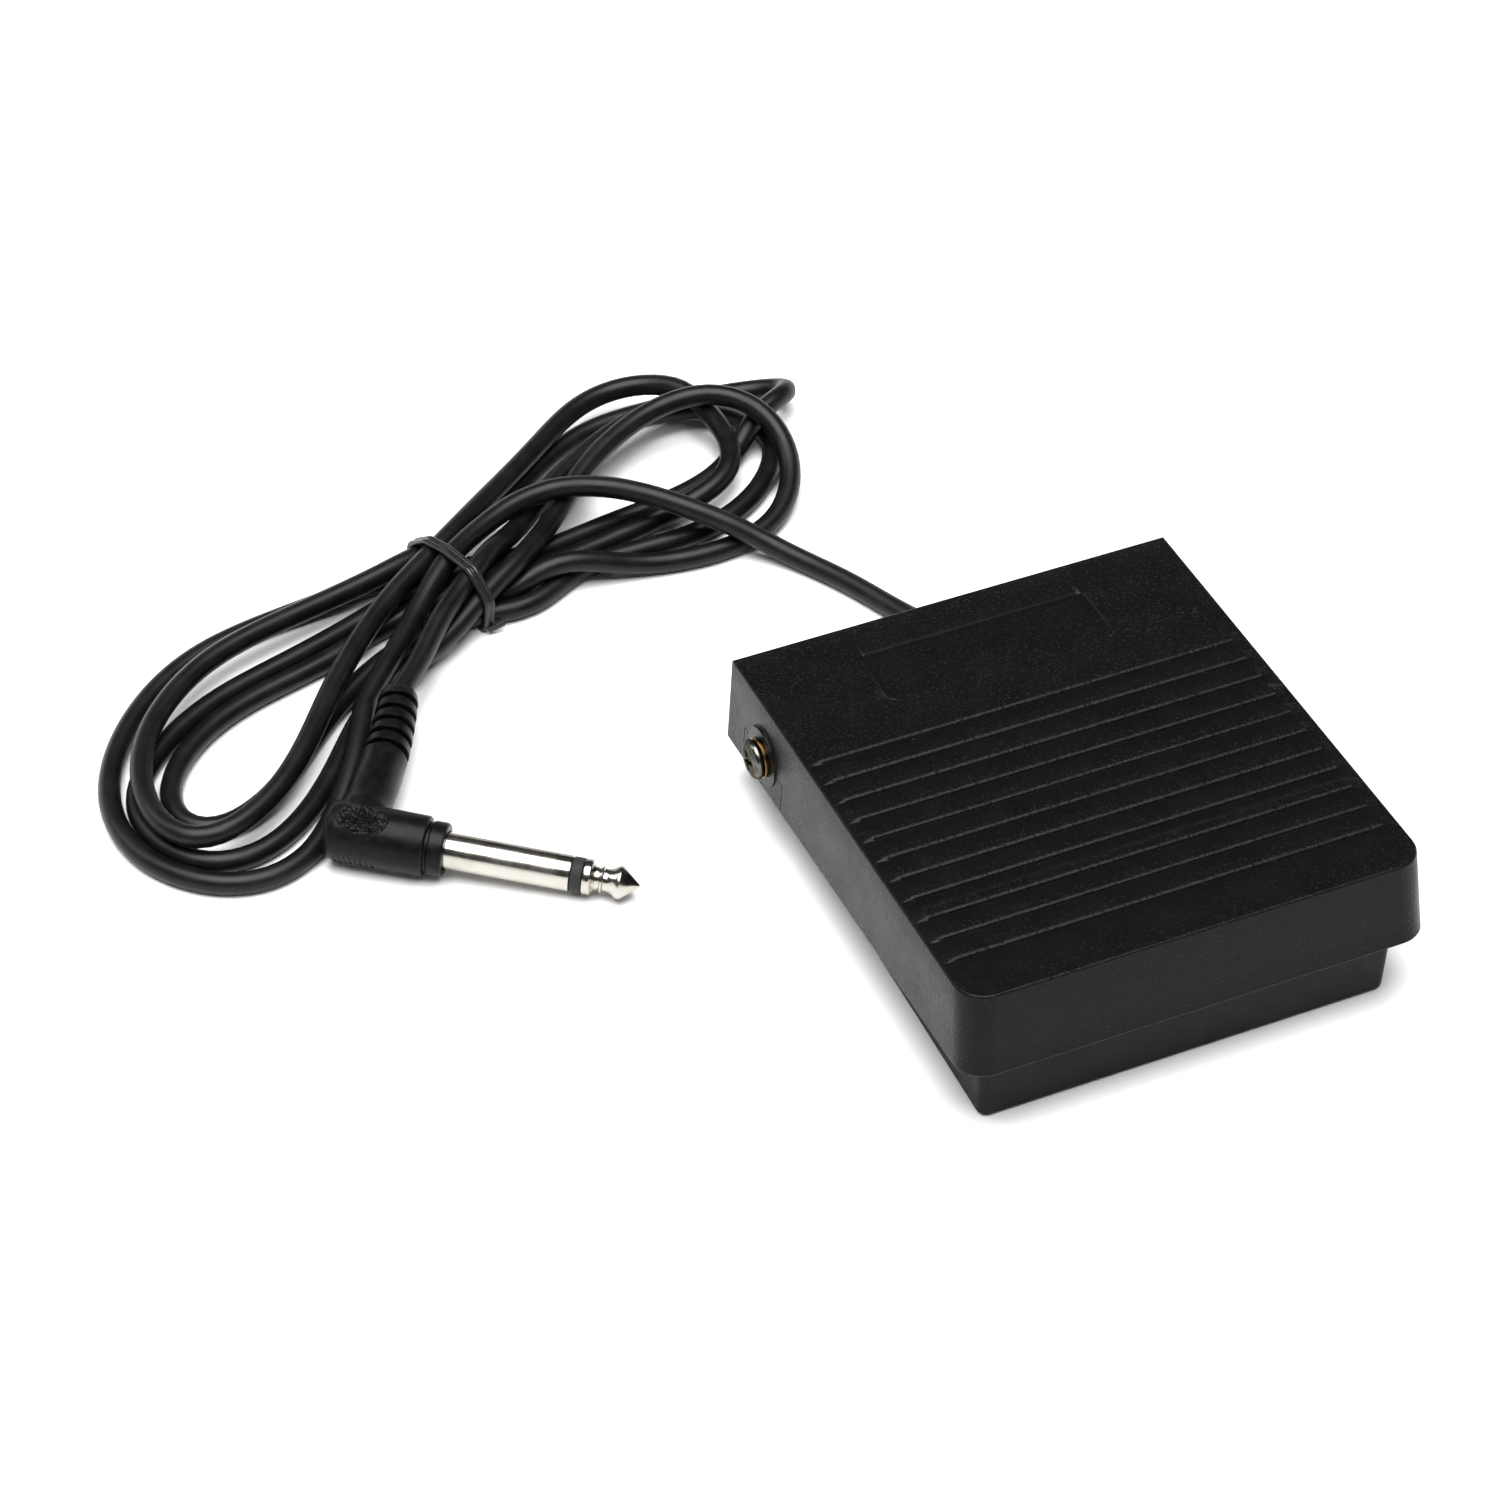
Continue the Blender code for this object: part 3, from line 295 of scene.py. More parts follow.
# The cord's course in millimetres, from the pedal's outlet to the plug: out to the tie, then back and
# forth in loops at the front and the back of the hank, passing through the tie nine times.
ROUTE = [
    # from the outlet, over the back loops, to the top of the tie
    (6, 57.6, 5.1), (5.9, 61.5, 4.4), (4, 68, 2.7), (0.5, 75.5, 2.1), (-3, 84, 2.1), (-8, 92, 2.1),
    (-13, 98.5, 3.2), (-19, 103, 6.5), (-24, 106, 9), (-31, 112.5, 10.5), (-38, 118, 10.5),
    (-47, 120.5, 10), (-56.5, 119, 9.5), (-65, 115, 8.6), (-69.5, 112, 7.8),
    # down the front and round the outer front loop
    (-79.5, 103, 7), (-87, 93.5, 6.2), (-94.5, 83.5, 6), (-101.5, 73.5, 5.5), (-108.5, 64.5, 3.5),
    (-115, 57, 2.1), (-123.5, 52.5, 2.1), (-132, 54, 2.1), (-139, 59.5, 2.1), (-143.5, 69, 2.1),
    (-145, 79, 2.1), (-142.5, 88, 2.1), (-137, 97, 2.1), (-129, 105.5, 2.1), (-118.5, 112, 2.1),
    (-106, 115, 2.1), (-93.5, 116.5, 2.1), (-83.5, 117.5, 2.2), (-75, 117, 2.9),
    # low through the tie and round the outer back loop
    (-72, 112, 3.3), (-68, 107.5, 3.2), (-59, 106, 2.6), (-47, 106, 2.1), (-36, 103.5, 2.1),
    (-25, 101.5, 2.1), (-16, 102, 2.1), (-7.5, 106, 2.6), (-2, 113, 4), (0.5, 121.5, 6),
    (-1.5, 129, 8.5), (-7, 134, 10), (-15, 136, 10), (-22, 135.5, 9.5), (-29, 132, 9),
    (-36.5, 128, 8.3), (-44, 121.5, 7.6), (-52, 113, 7), (-59.5, 107, 6.8), (-70.5, 101, 6.6),
    # beside the stem and round the third front loop
    (-78.5, 94.5, 6), (-88, 92, 3.5), (-95.5, 86.5, 2.6), (-104.5, 75.5, 2.3), (-113.5, 66, 2.2),
    (-123.5, 59.5, 2.1), (-133, 59.5, 2.1), (-139.5, 66, 2.1), (-141.5, 75, 2.1), (-139.5, 82.5, 2.1),
    (-134, 89, 2.1), (-125.5, 96, 2.1), (-115.5, 100.5, 2.1), (-104, 104, 2.1), (-92, 107.5, 2.1),
    (-82.5, 111, 2.4), (-75, 111.5, 2.9),
    # low through the tie, then the turn that stands furthest out at the back
    (-70.5, 109, 3.3), (-61, 110.5, 3.2), (-48, 114, 2.4), (-36, 116.5, 2.1), (-28.5, 118, 2.1),
    (-21, 119, 2.1), (-16, 120.5, 2.1), (-11, 123, 2.1), (-7, 126.5, 2.1), (-4, 130, 2.8),
    (-1, 132, 5), (3.5, 132, 7.8), (8, 134, 7), (9, 138, 4), (6.5, 141.5, 2.4), (2.5, 143, 2.1),
    (-3, 144, 2.1),
    (-9, 144, 2.1), (-15.5, 144.5, 2.1), (-22, 144.5, 2.1), (-28, 144.5, 2.1), (-33.5, 143, 2.2),
    (-40, 139, 2.4), (-48.5, 133, 2.8), (-57, 126.5, 3.6), (-64.5, 122, 4.8), (-72, 118.5, 5.8),
    # high through the tie and round the second front loop
    (-79, 116, 5.6), (-89, 114, 5.8), (-99, 111.5, 6), (-109.5, 109, 6), (-119, 105.5, 6),
    (-127.5, 99, 6), (-134.5, 91, 6), (-138, 83, 6), (-139.5, 75, 6), (-138.5, 66.5, 6),
    (-134.5, 61.5, 6.2), (-126.5, 63.5, 6.4), (-117.5, 69, 6.8), (-109, 78, 7.2), (-101.5, 88, 7.5),
    (-92.5, 98, 7.8), (-84, 106.5, 8), (-74.5, 113, 8.6),
    # on top through the tie and round the back loop that hides the others
    (-66.5, 119.5, 7.8), (-58.5, 126, 7), (-52, 131, 6.6), (-45.5, 136, 6.3), (-39, 141, 6.2),
    (-35, 144.5, 6.2), (-31, 147, 6.2), (-25.5, 148.5, 6.2), (-20, 148.5, 6.2), (-15, 145.5, 6.2),
    (-12, 140.5, 6.2), (-10, 135, 6.2), (-9, 128.5, 6.2), (-9.5, 122, 6.2), (-12, 117.5, 6.2),
    (-16.5, 114.5, 6), (-22, 114, 4.5), (-27.5, 114.5, 3), (-34, 113.5, 2.3), (-43, 111.5, 2.2),
    (-53.5, 109.5, 2.4), (-62, 107.5, 2.9), (-71, 106.5, 3.2), (-76, 109, 3),
    # low through the tie and round the inner front loop
    (-85, 106.5, 2.6), (-95, 102, 2.1), (-105.5, 99, 2.1), (-116, 96.5, 2.1), (-125, 91, 2.1),
    (-132, 84, 2.1), (-135, 78, 2.1), (-135, 71, 2.1), (-130.5, 67, 2.1), (-122, 70, 2.1),
    (-112.5, 77, 2.2), (-102.5, 87, 2.6), (-93, 94, 3), (-82, 99, 3.2), (-72.5, 103, 3),
    # low through the tie and round the second back loop
    (-65.5, 104, 2.8), (-55, 106, 2.3), (-42.5, 107, 2.1), (-31.5, 107.5, 2.1), (-21.5, 108, 2.1),
    (-12.5, 111.5, 2.2), (-5, 117.5, 2.6), (-1, 123.5, 3.4), (-1, 130.5, 4.6), (-4, 136.5, 5.6),
    (-8.5, 140, 6), (-14.5, 141, 6), (-21.5, 139.5, 6), (-28.5, 136.5, 6), (-36, 132.5, 6),
    (-42, 128.5, 6.2), (-49, 123, 6.4), (-57, 115.5, 6.8),
    # on top through the tie to the strain relief
    (-66, 106.5, 7.4), (-73.5, 100.5, 7.6), (-81.5, 92, 7.6), (-87.5, 85.5, 7.7), (-91, 81.7, 7.7),
]  # fmt: skip


def smooth_route(points, steps):
    """Points along a Catmull-Rom curve through the given ones."""
    p = np.asarray(points, float)
    p = np.vstack([2 * p[0] - p[1], p, 2 * p[-1] - p[-2]])
    t = (np.arange(steps) / steps)[:, None]
    found = [
        0.5 * (2 * b + (c - a) * t + (2 * a - 5 * b + 4 * c - d) * t**2 + (3 * b - a - 3 * c + d) * t**3)
        for a, b, c, d in zip(p, p[1:], p[2:], p[3:])
    ]
    return np.vstack([*found, p[-2:-1]])


def even_steps(line, spacing):
    """Points at about this spacing along a line."""
    run = np.r_[0, np.cumsum(np.linalg.norm(np.diff(line, axis=0), axis=1))]
    at = np.linspace(0, run[-1], int(round(run[-1] / spacing)) + 1)
    return np.stack([np.interp(at, run, line[:, k]) for k in range(3)], axis=1)


def plug_obstacles():
    """Balls along the plug's barrel and stem, which the cord lies beside: places and radii."""
    turn, origin = np.array(PLUG.to_3x3()), np.array(PLUG.translation)
    places = [((along, 0, 0), BARREL_RADIUS) for along in np.arange(-1.0, 12.5, 1.5)]
    places += [((stem_shift(up), up, 0), STEM_RADIUS) for up in np.arange(0.0, 34.0, 1.5)]
    return np.array([origin + turn @ np.array(p) for p, _ in places]), np.array([r for _, r in places])


def settle(route):
    """Relaxes the route: it bends evenly, its strands lie a diameter apart, and it rests on the floor.

    Each round pulls every point towards a fair curve, a little back to the route, and down."""
    spacing, rounds, apart, held = 4.0, 220, 2 * CORD_RADIUS + 0.1, 3
    fairing, homing, weight = 0.5, 0.025, (0, 0, 0.004)
    p = even_steps(smooth_route(route, 8), spacing)
    home = p.copy()
    free = np.ones((len(p), 1))
    free[:held] = free[-held:] = 0
    index = np.arange(len(p))
    balls, radii = plug_obstacles()
    near_end = index > len(p) - 8
    for turn in range(rounds):
        q = np.vstack([2 * p[0] - p[2], 2 * p[0] - p[1], p, 2 * p[-1] - p[-2], 2 * p[-1] - p[-3]])
        fair = (-q[:-4] + 4 * q[1:-3] + 4 * q[3:-1] - q[4:]) / 6
        p = p + free * (fairing * (fair - p) + homing * (home - p) - weight)
        if turn % 10 == 0:
            gaps = np.sqrt(((p[:, None] - p[None, :-1]) ** 2).sum(2))
            along = np.abs(index[:, None] - index[None, :-1])
            one, two = np.nonzero((gaps < apart + 6) & (along > 4))
        for _ in range(4):
            p = p + free * part_strands(p, one, two, apart)
            away = p[:, None] - balls[None]
            gap = np.linalg.norm(away, axis=2) + 1e-9
            deep = np.maximum(0, radii + CORD_RADIUS + 0.05 - gap)
            deep[near_end] = 0
            lift = ((deep / gap)[:, :, None] * away).sum(1)
            p = p + free * lift / np.maximum(1, (deep > 0).sum(1))[:, None]
            p[:, 2] = np.where(free[:, 0] > 0, np.maximum(p[:, 2], CORD_RADIUS), p[:, 2])
    return even_steps(smooth_route(p, 6), 2.0)


def part_strands(p, one, two, apart):
    """How far each point moves so that no point lies nearer than this to another stretch."""
    step = p[two + 1] - p[two]
    share = np.clip(((p[one] - p[two]) * step).sum(1) / (step**2).sum(1), 0, 1)[:, None]
    away = p[one] - p[two] - share * step
    gap = np.linalg.norm(away, axis=1)[:, None] + 1e-9
    push = np.maximum(0, apart - gap) / gap * away * 0.5
    touch = (push**2).sum(1, keepdims=True) > 0
    moved, count = np.zeros_like(p), np.full((len(p), 1), 1e-9)
    for at, weight, sign in ((one, 1.0, 1), (two, 1 - share, -1), (two + 1, share, -1)):
        np.add.at(moved, at, sign * push * weight)
        np.add.at(count, at, touch * weight)
    return 1.3 * moved / np.maximum(1, count)


# ---- mesh helpers


def bridge(bm, loops):
    """Joins each closed loop of vertices to the next with quads."""
    for a, b in zip(loops, loops[1:]):
        for i in range(len(a)):
            j = (i + 1) % len(a)
            bm.faces.new((a[i], a[j], b[j], b[i]))


def skin(rings, closed=False, bm=None):
    """A mesh of quads between rings of points, with its two ends closed unless the rings run in a circle.

    It is added to bm where one is given."""
    bm = bmesh.new() if bm is None else bm
    loops = [[bm.verts.new(p) for p in ring] for ring in rings]
    bridge(bm, loops + loops[:1] if closed else loops)
    if not closed:
        bm.faces.new(list(reversed(loops[0])))
        bm.faces.new(loops[-1])
    return bm


def angles(count):
    """Even steps round a circle."""
    return [tau * i / count for i in range(count)]


def rounded_ring(half, front, rear, radius, z, steps):
    """A rounded rectangle at one height, from the front right corner round to the front left."""
    ring = []
    for side, y, start, inward in (
        (1, front, -90, 1), (1, rear, 0, -1), (-1, rear, 90, -1), (-1, front, 180, 1)
    ):  # fmt: skip
        for i in range(steps + 1):
            a = radians(start + 90 * i / steps)
            x = side * (half - radius) + radius * cos(a)
            ring.append((x, y + inward * radius + radius * sin(a), z))
    return ring


def smooth_mesh(name, bm):
    """A smooth mesh in metres from one in millimetres, with its faces turned outwards."""
    bmesh.ops.recalc_face_normals(bm, faces=bm.faces)
    bmesh.ops.scale(bm, verts=bm.verts, vec=(MM, MM, MM))
    mesh = bpy.data.meshes.new(name)
    bm.to_mesh(mesh)
    bm.free()
    mesh.shade_smooth()
    return mesh


def piece(name, bm, look, angle=32, body=None):
    """A shown object from a mesh in millimetres, with sharp edges past the angle in degrees."""
    mesh = smooth_mesh(name, bm)
    mesh.set_sharp_from_angle(angle=radians(angle))
    mesh.materials.append(look)
    obj = bpy.data.objects.new(name, mesh)
    bpy.context.scene.collection.objects.link(obj)
    if body:
        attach(obj, body)
    return obj


def axis_frame(origin, direction):
    """The frame with its origin here and its Z along the direction."""
    turn = Vector(direction).to_track_quat("Z", "Y").to_matrix().to_4x4()
    return Matrix.Translation(Vector(origin)) @ turn


def turned(profile, at, segments=64, hollow=False):
    """A turned shape from (radius, distance along the axis) points. A hollow one's profile is closed."""
    ring = angles(segments)
    return skin([[at @ Vector((r * cos(a), r * sin(a), h)) for a in ring] for r, h in profile], hollow)


def boolean(target, name, bm, operation="DIFFERENCE"):
    """Cuts a mesh in millimetres from the target, or joins it on."""
    cutter = piece(name, bm, target.data.materials[0])
    step = target.modifiers.new("cut", "BOOLEAN")
    step.operation = operation
    step.solver = "EXACT"
    step.object = cutter
    bpy.context.view_layer.update()
    evaluated = target.evaluated_get(bpy.context.evaluated_depsgraph_get())
    made = bpy.data.meshes.new_from_object(evaluated)
    target.modifiers.clear()
    old, target.data = target.data, made
    bpy.data.meshes.remove(old)
    bpy.data.objects.remove(cutter)


# ---- treadle cover

REAR_Y, FRONT_Y, TOP_FRONT_Y = 48.1, -48.1, -45.4
TOP_REAR_Z, TOP_FRONT_Z, SKIRT_REAR_Z, SKIRT_FRONT_Z = 26.0, 29.9, 8.5, 14.6
TOP_HALF_WIDTH, SIDE_DRAFT, COVER_CORNER, WALL = 41.46, 0.0557, 5.3, 2.2
CORNER_STEPS = 9
RIB_ROWS = [17.4 - 5.24 * i for i in range(11)]
# a rib's front and rear edge from its row's y, and its steep wall and the rounding of its front edge
RIB_HALF_LENGTH, RIB_FRONT, RIB_REAR, RIB_HEIGHT = 38.9, -0.65, 1.65, 0.5
RIB_CORNER, RIB_WALL, RIB_ROUND, RIB_ROUND_DROP = 0.35, 0.08, 0.8, 0.26
PANEL_HALF_WIDTH, PANEL_Y, PANEL_DEPTH, PANEL_CORNER, PANEL_WALL = 21.5, (27.0, 40.3), 0.3, 1.5, 0.12
PIVOT = Vector((0.0, 33.5, 16.0))
LUG_RADIUS = 6.5  # of each hinge lug, and of the low boss on the cover's side round it
SPRING_Y, SWITCH_Y = -20.0, 8.0
UP = (0, 0, 1)
SIDES = {"left": -1, "right": 1}


def top_z(y):
    """Height of the top face's plane."""
    share = (REAR_Y - y) / (REAR_Y - TOP_FRONT_Y)
    return TOP_REAR_Z + share * (TOP_FRONT_Z - TOP_REAR_Z)


def skirt_z(y):
    """Height of the skirt's lower edge."""
    share = (REAR_Y - y) / (REAR_Y - FRONT_Y)
    return SKIRT_REAR_Z + share * (SKIRT_FRONT_Z - SKIRT_REAR_Z)


def ease(t):
    """A smooth step from 0 to 1."""
    t = min(1.0, max(0.0, t))
    return t * t * (3 - 2 * t)


def relief(x, y):
    """How far the top face stands above its plane: the ribs, less the sunken panel."""
    row = min(RIB_ROWS, key=lambda r: abs(r + 0.5 - y))
    half = (RIB_REAR - RIB_FRONT) / 2
    dx = abs(x) - RIB_HALF_LENGTH + RIB_CORNER
    dy = abs(y - row - (RIB_FRONT + RIB_REAR) / 2) - half + RIB_CORNER
    inside = RIB_CORNER - hypot(max(dx, 0.0), max(dy, 0.0)) - min(max(dx, dy), 0.0)
    from_front = y - row - RIB_FRONT
    round_off = max(0.0, 1 - max(0.0, from_front - RIB_WALL) / RIB_ROUND)
    height = (RIB_HEIGHT - RIB_ROUND_DROP * round_off**2) * ease(inside / RIB_WALL)
    middle, half = sum(PANEL_Y) / 2, (PANEL_Y[1] - PANEL_Y[0]) / 2
    dx = max(0.0, abs(x) - PANEL_HALF_WIDTH + PANEL_CORNER)
    dy = max(0.0, abs(y - middle) - half + PANEL_CORNER)
    return height - PANEL_DEPTH * ease((PANEL_CORNER - hypot(dx, dy)) / PANEL_WALL)


def refined(values, edge, steps, reach=1.7):
    """The values, with those near an edge replaced by the edge's own close steps."""
    return {v for v in values if abs(v - edge) > reach} | {round(edge + step, 3) for step in steps}


def top_rows():
    """Y of the rows across the top face, from the rear to where the front corners begin."""
    rows = set(np.linspace(REAR_Y, TOP_FRONT_Y + COVER_CORNER, 28).round(2))
    for row in RIB_ROWS:
        front = (-0.3, -0.06, 0.0, 0.02, 0.04, 0.06, 0.08, 0.2, 0.34, 0.48, 0.62, 0.76, 0.88, 1.1)
        rear = (-0.3, -0.06, 0.0, 0.02, 0.04, 0.06, 0.08, 0.14, 0.4)
        near = {round(row + RIB_FRONT + step, 3) for step in front}
        near |= {round(row + RIB_REAR - step, 3) for step in rear}
        rows = {y for y in rows if not -1.1 < y - row < 2.1} | near
    for edge, inward in ((PANEL_Y[0], 1), (PANEL_Y[1], -1)):
        steps = (-0.4, -0.06, 0, 0.03, 0.06, 0.09, 0.12, 0.18, 0.45, 0.8, 1.2, 1.6)
        rows = refined(rows, edge, [inward * step for step in steps])
    return sorted(rows, reverse=True)


def top_columns():
    """X of the columns across the top face as shares of its half width."""
    columns = set(np.linspace(0, 40.9, 25).round(2)) | {TOP_HALF_WIDTH}
    steps = (-1.6, -1.2, -0.8, -0.45, -0.18, -0.12, -0.09, -0.06, -0.03, 0, 0.06, 0.4)
    columns = refined(columns, PANEL_HALF_WIDTH, steps)
    steps = (-0.8, -0.4, -0.3, -0.22, -0.14, -0.08, -0.06, -0.04, -0.02, 0, 0.06, 0.3)
    columns = refined(columns, RIB_HALF_LENGTH, steps)
    half = [x / TOP_HALF_WIDTH for x in sorted(columns) if x > 0]
    return [-x for x in reversed(half)] + [0.0] + half


def cover_loop(rows, columns, half, rear_y, front_y, radius):
    """The cover's outline seen from above, point for point the same at every level.

    It runs from the rear right corner down the right side, round the front, and back up the left.
    half is the half width at a y."""
    low = front_y + radius
    span = rows[0] - rows[-1]
    ys = [low + (rear_y - low) * (y - rows[-1]) / span for y in rows]
    right = [(half(y), y) for y in ys]
    arc = []
    for i in range(1, CORNER_STEPS + 1):
        a = pi / 2 * i / CORNER_STEPS
        arc.append((half(low) - radius * (1 - cos(a)), low - radius * sin(a)))
    edge = half(low) - radius
    front = [(edge * c, front_y) for c in reversed(columns[1:-1])]
    left = [(-x, y) for x, y in reversed(right + arc)]
    rear = [(half(rear_y) * c, rear_y) for c in columns[1:-1]]
    return right + arc + front + left + rear


def cover_ring(rows, columns, drop, inset, level):
    """One loop of the shell. Level 0 is the top edge and 1 is the skirt's edge."""

    def half(y):
        depth = level * (top_z(y) - skirt_z(y)) + (0 if level else drop)
        return TOP_HALF_WIDTH + SIDE_DRAFT * depth - inset

    front = TOP_FRONT_Y + level * (FRONT_Y - TOP_FRONT_Y) + inset
    outline = cover_loop(rows, columns, half, REAR_Y - inset, front, COVER_CORNER - inset)
    lower = drop if level < 1 else -drop
    return [(x, y, top_z(y) + level * (skirt_z(y) - top_z(y)) - lower) for x, y in outline]


def fill_top(bm, rim, rows, columns):
    """The top face: a grid of rows and columns whose rim is the shell's first loop."""
    side, inner = len(rows) + CORNER_STEPS, len(columns) - 2
    grid = []
    for i in range(side):
        right, left = rim[i], rim[2 * side + inner - 1 - i]
        if i == side - 1:
            middle = list(reversed(rim[side : side + inner]))
        elif i == 0:
            middle = rim[2 * side + inner :]
        else:
            y = right.co.y
            across = [right.co.x * c for c in columns[1:-1]]
            middle = [bm.verts.new((x, y, top_z(y) + relief(x, y))) for x in across]
        grid.append([left, *middle, right])
    for a, b in zip(grid, grid[1:]):
        for i in range(len(a) - 1):
            bm.faces.new((a[i], a[i + 1], b[i + 1], b[i]))


def make_cover(looks):
    rows, columns, bevel = top_rows(), top_columns(), 0.45
    # drop, inset and level of each loop: round the top edge, down the outside and up the inside
    levels = []
    for i in range(5):
        a = pi / 2 * i / 4
        levels.append((bevel * (1 - cos(a)), bevel * (1 - sin(a)), 0.0))
    levels += [(0.0, 0.0, 0.3), (0.0, 0.0, 0.65), (0.0, 0.0, 0.97)]
    levels += [(0.25, 0.0, 1.0), (0.07, 0.07, 1.0), (0.0, 0.25, 1.0)]
    levels += [(0.0, WALL - 0.2, 1.0), (0.2, WALL, 1.0), (WALL, WALL, 0.0)]
    bm = bmesh.new()
    loops = [[bm.verts.new(p) for p in cover_ring(rows, columns, *level)] for level in levels]
    bridge(bm, loops)
    bm.faces.new(list(reversed(loops[-1])))
    fill_top(bm, loops[0], rows, columns)

    cover = piece("treadle_cover", bm, looks["cover"], angle=40, body="pedal")
    for side in SIDES.values():
        at = axis_frame((0, PIVOT.y, PIVOT.z), (side, 0, 0))
        boss = turned([(LUG_RADIUS, 38.7), (LUG_RADIUS, 41.5)], at)
        boolean(cover, "guide_boss", boss, "UNION")
        collar = [(5.9, 40.0), (5.8, 41.75), (5.6, 41.95), (5.5, 42.15), (5.5, 42.3), (5.4, 42.4)]
        boolean(cover, "guide_collar", turned(collar, at, 96), "UNION")
        bore = turned([(3.5, 36.0), (3.5, 46.0)], at)
        boolean(cover, "guide_bore", bore)
        make_seam(cover, side)
    add_cover_inside(cover)
    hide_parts("pedal_cover")


def make_seam(cover, side):
    """The hairline where the mould's side insert met the rest, about the pivot."""
    z, ends, gap, depth, width = 16.1, (25.4, 41.4), 6.1, 0.25, 0.11
    face = TOP_HALF_WIDTH + SIDE_DRAFT * (top_z(PIVOT.y) - z)
    for y0, y1 in ((ends[0], PIVOT.y - gap), (PIVOT.y + gap, ends[1])):
        bm = box((side * face - depth, y0, z - width), (side * face + depth, y1, z + width))
        boolean(cover, "guide_seam", bm)
    for y in ends:
        low = skirt_z(y) - 0.5
        rings = []
        for level in (low, z + width):
            x = side * (TOP_HALF_WIDTH + SIDE_DRAFT * (top_z(y) - level))
            corners = ((-depth, -width), (depth, -width), (depth, width), (-depth, width))
            rings.append([(x + dx, y + dy, level) for dx, dy in corners])
        boolean(cover, "guide_seam", skin(rings))


def box(low, high):
    """A plain block between two corners."""
    (x0, y0, z0), (x1, y1, z1) = low, high
    return skin([[(x0, y0, z), (x1, y0, z), (x1, y1, z), (x0, y1, z)] for z in (z0, z1)])


def join(target, bodies):
    """Adds separate closed bodies, in millimetres, to the target's mesh."""
    bm = bmesh.new()
    bm.from_mesh(target.data)
    for body in bodies:
        mesh = smooth_mesh("joined", body)
        bm.from_mesh(mesh)
        bpy.data.meshes.remove(mesh)
    bm.to_mesh(target.data)
    bm.free()
    target.data.set_sharp_from_angle(angle=radians(40))


def add_cover_inside(cover):
    """The spring cup, the post that presses the switch, and the stiffeners under the top."""
    cup = [(6.6, 23.6), (8.0, 23.6), (8.2, 23.8), (8.2, 26.9), (6.6, 26.9)]
    post = [(1.7, 16.8), (2.0, 17.1), (2.0, 19.8), (4.0, 20.8), (4.0, 26.6)]
    bodies = [
        turned(cup, axis_frame((0, SPRING_Y, 0), UP), 48, hollow=True),
        turned(post, axis_frame((0, SWITCH_Y, 0), UP), 32),
    ]
    for side in SIDES.values():
        bodies.append(box((side * 14 - 0.8, -37.0, 21.5), (side * 14 + 0.8, 24.0, 26.0)))
    join(cover, bodies)


# ---- base tray

BASE_HALF_WIDTH, BASE_FRONT_Y, BASE_REAR_Y = 37.3, -43.9, 44.0
BASE_CORNER, LEAST_CORNER, BASE_WALL = 1.8, 0.4, 2.2
BASE_BOTTOM_Z, BASE_TOP_Z, BASE_DRAFT, FLOOR_Z = 0.4, 15.6, 0.03, 2.8
ROOT_Z = 2.2  # where the parts that stand on the floor begin, inside it
LEDGE_HALF_WIDTH, LEDGE_FRONT_Y, LEDGE_REAR_Y, LEDGE_CORNER = 33.0, 43.0, 47.3, 1.4
MAT_HALF_WIDTH, MAT_HALF_LENGTH, MAT_CORNER = 33.7, 40.2, 2.0
EXIT_X, CORD_Z = 6.0, 5.1


def base_ring(z, inset):
    """The tray's outline at one height, moved in by the inset."""
    flare = BASE_DRAFT * (z - BASE_BOTTOM_Z)
    half, radius = BASE_HALF_WIDTH + flare - inset, max(LEAST_CORNER, BASE_CORNER - inset)
    front, rear = BASE_FRONT_Y - flare + inset, BASE_REAR_Y + flare - inset
    return rounded_ring(half, front, rear, radius, z, 9)


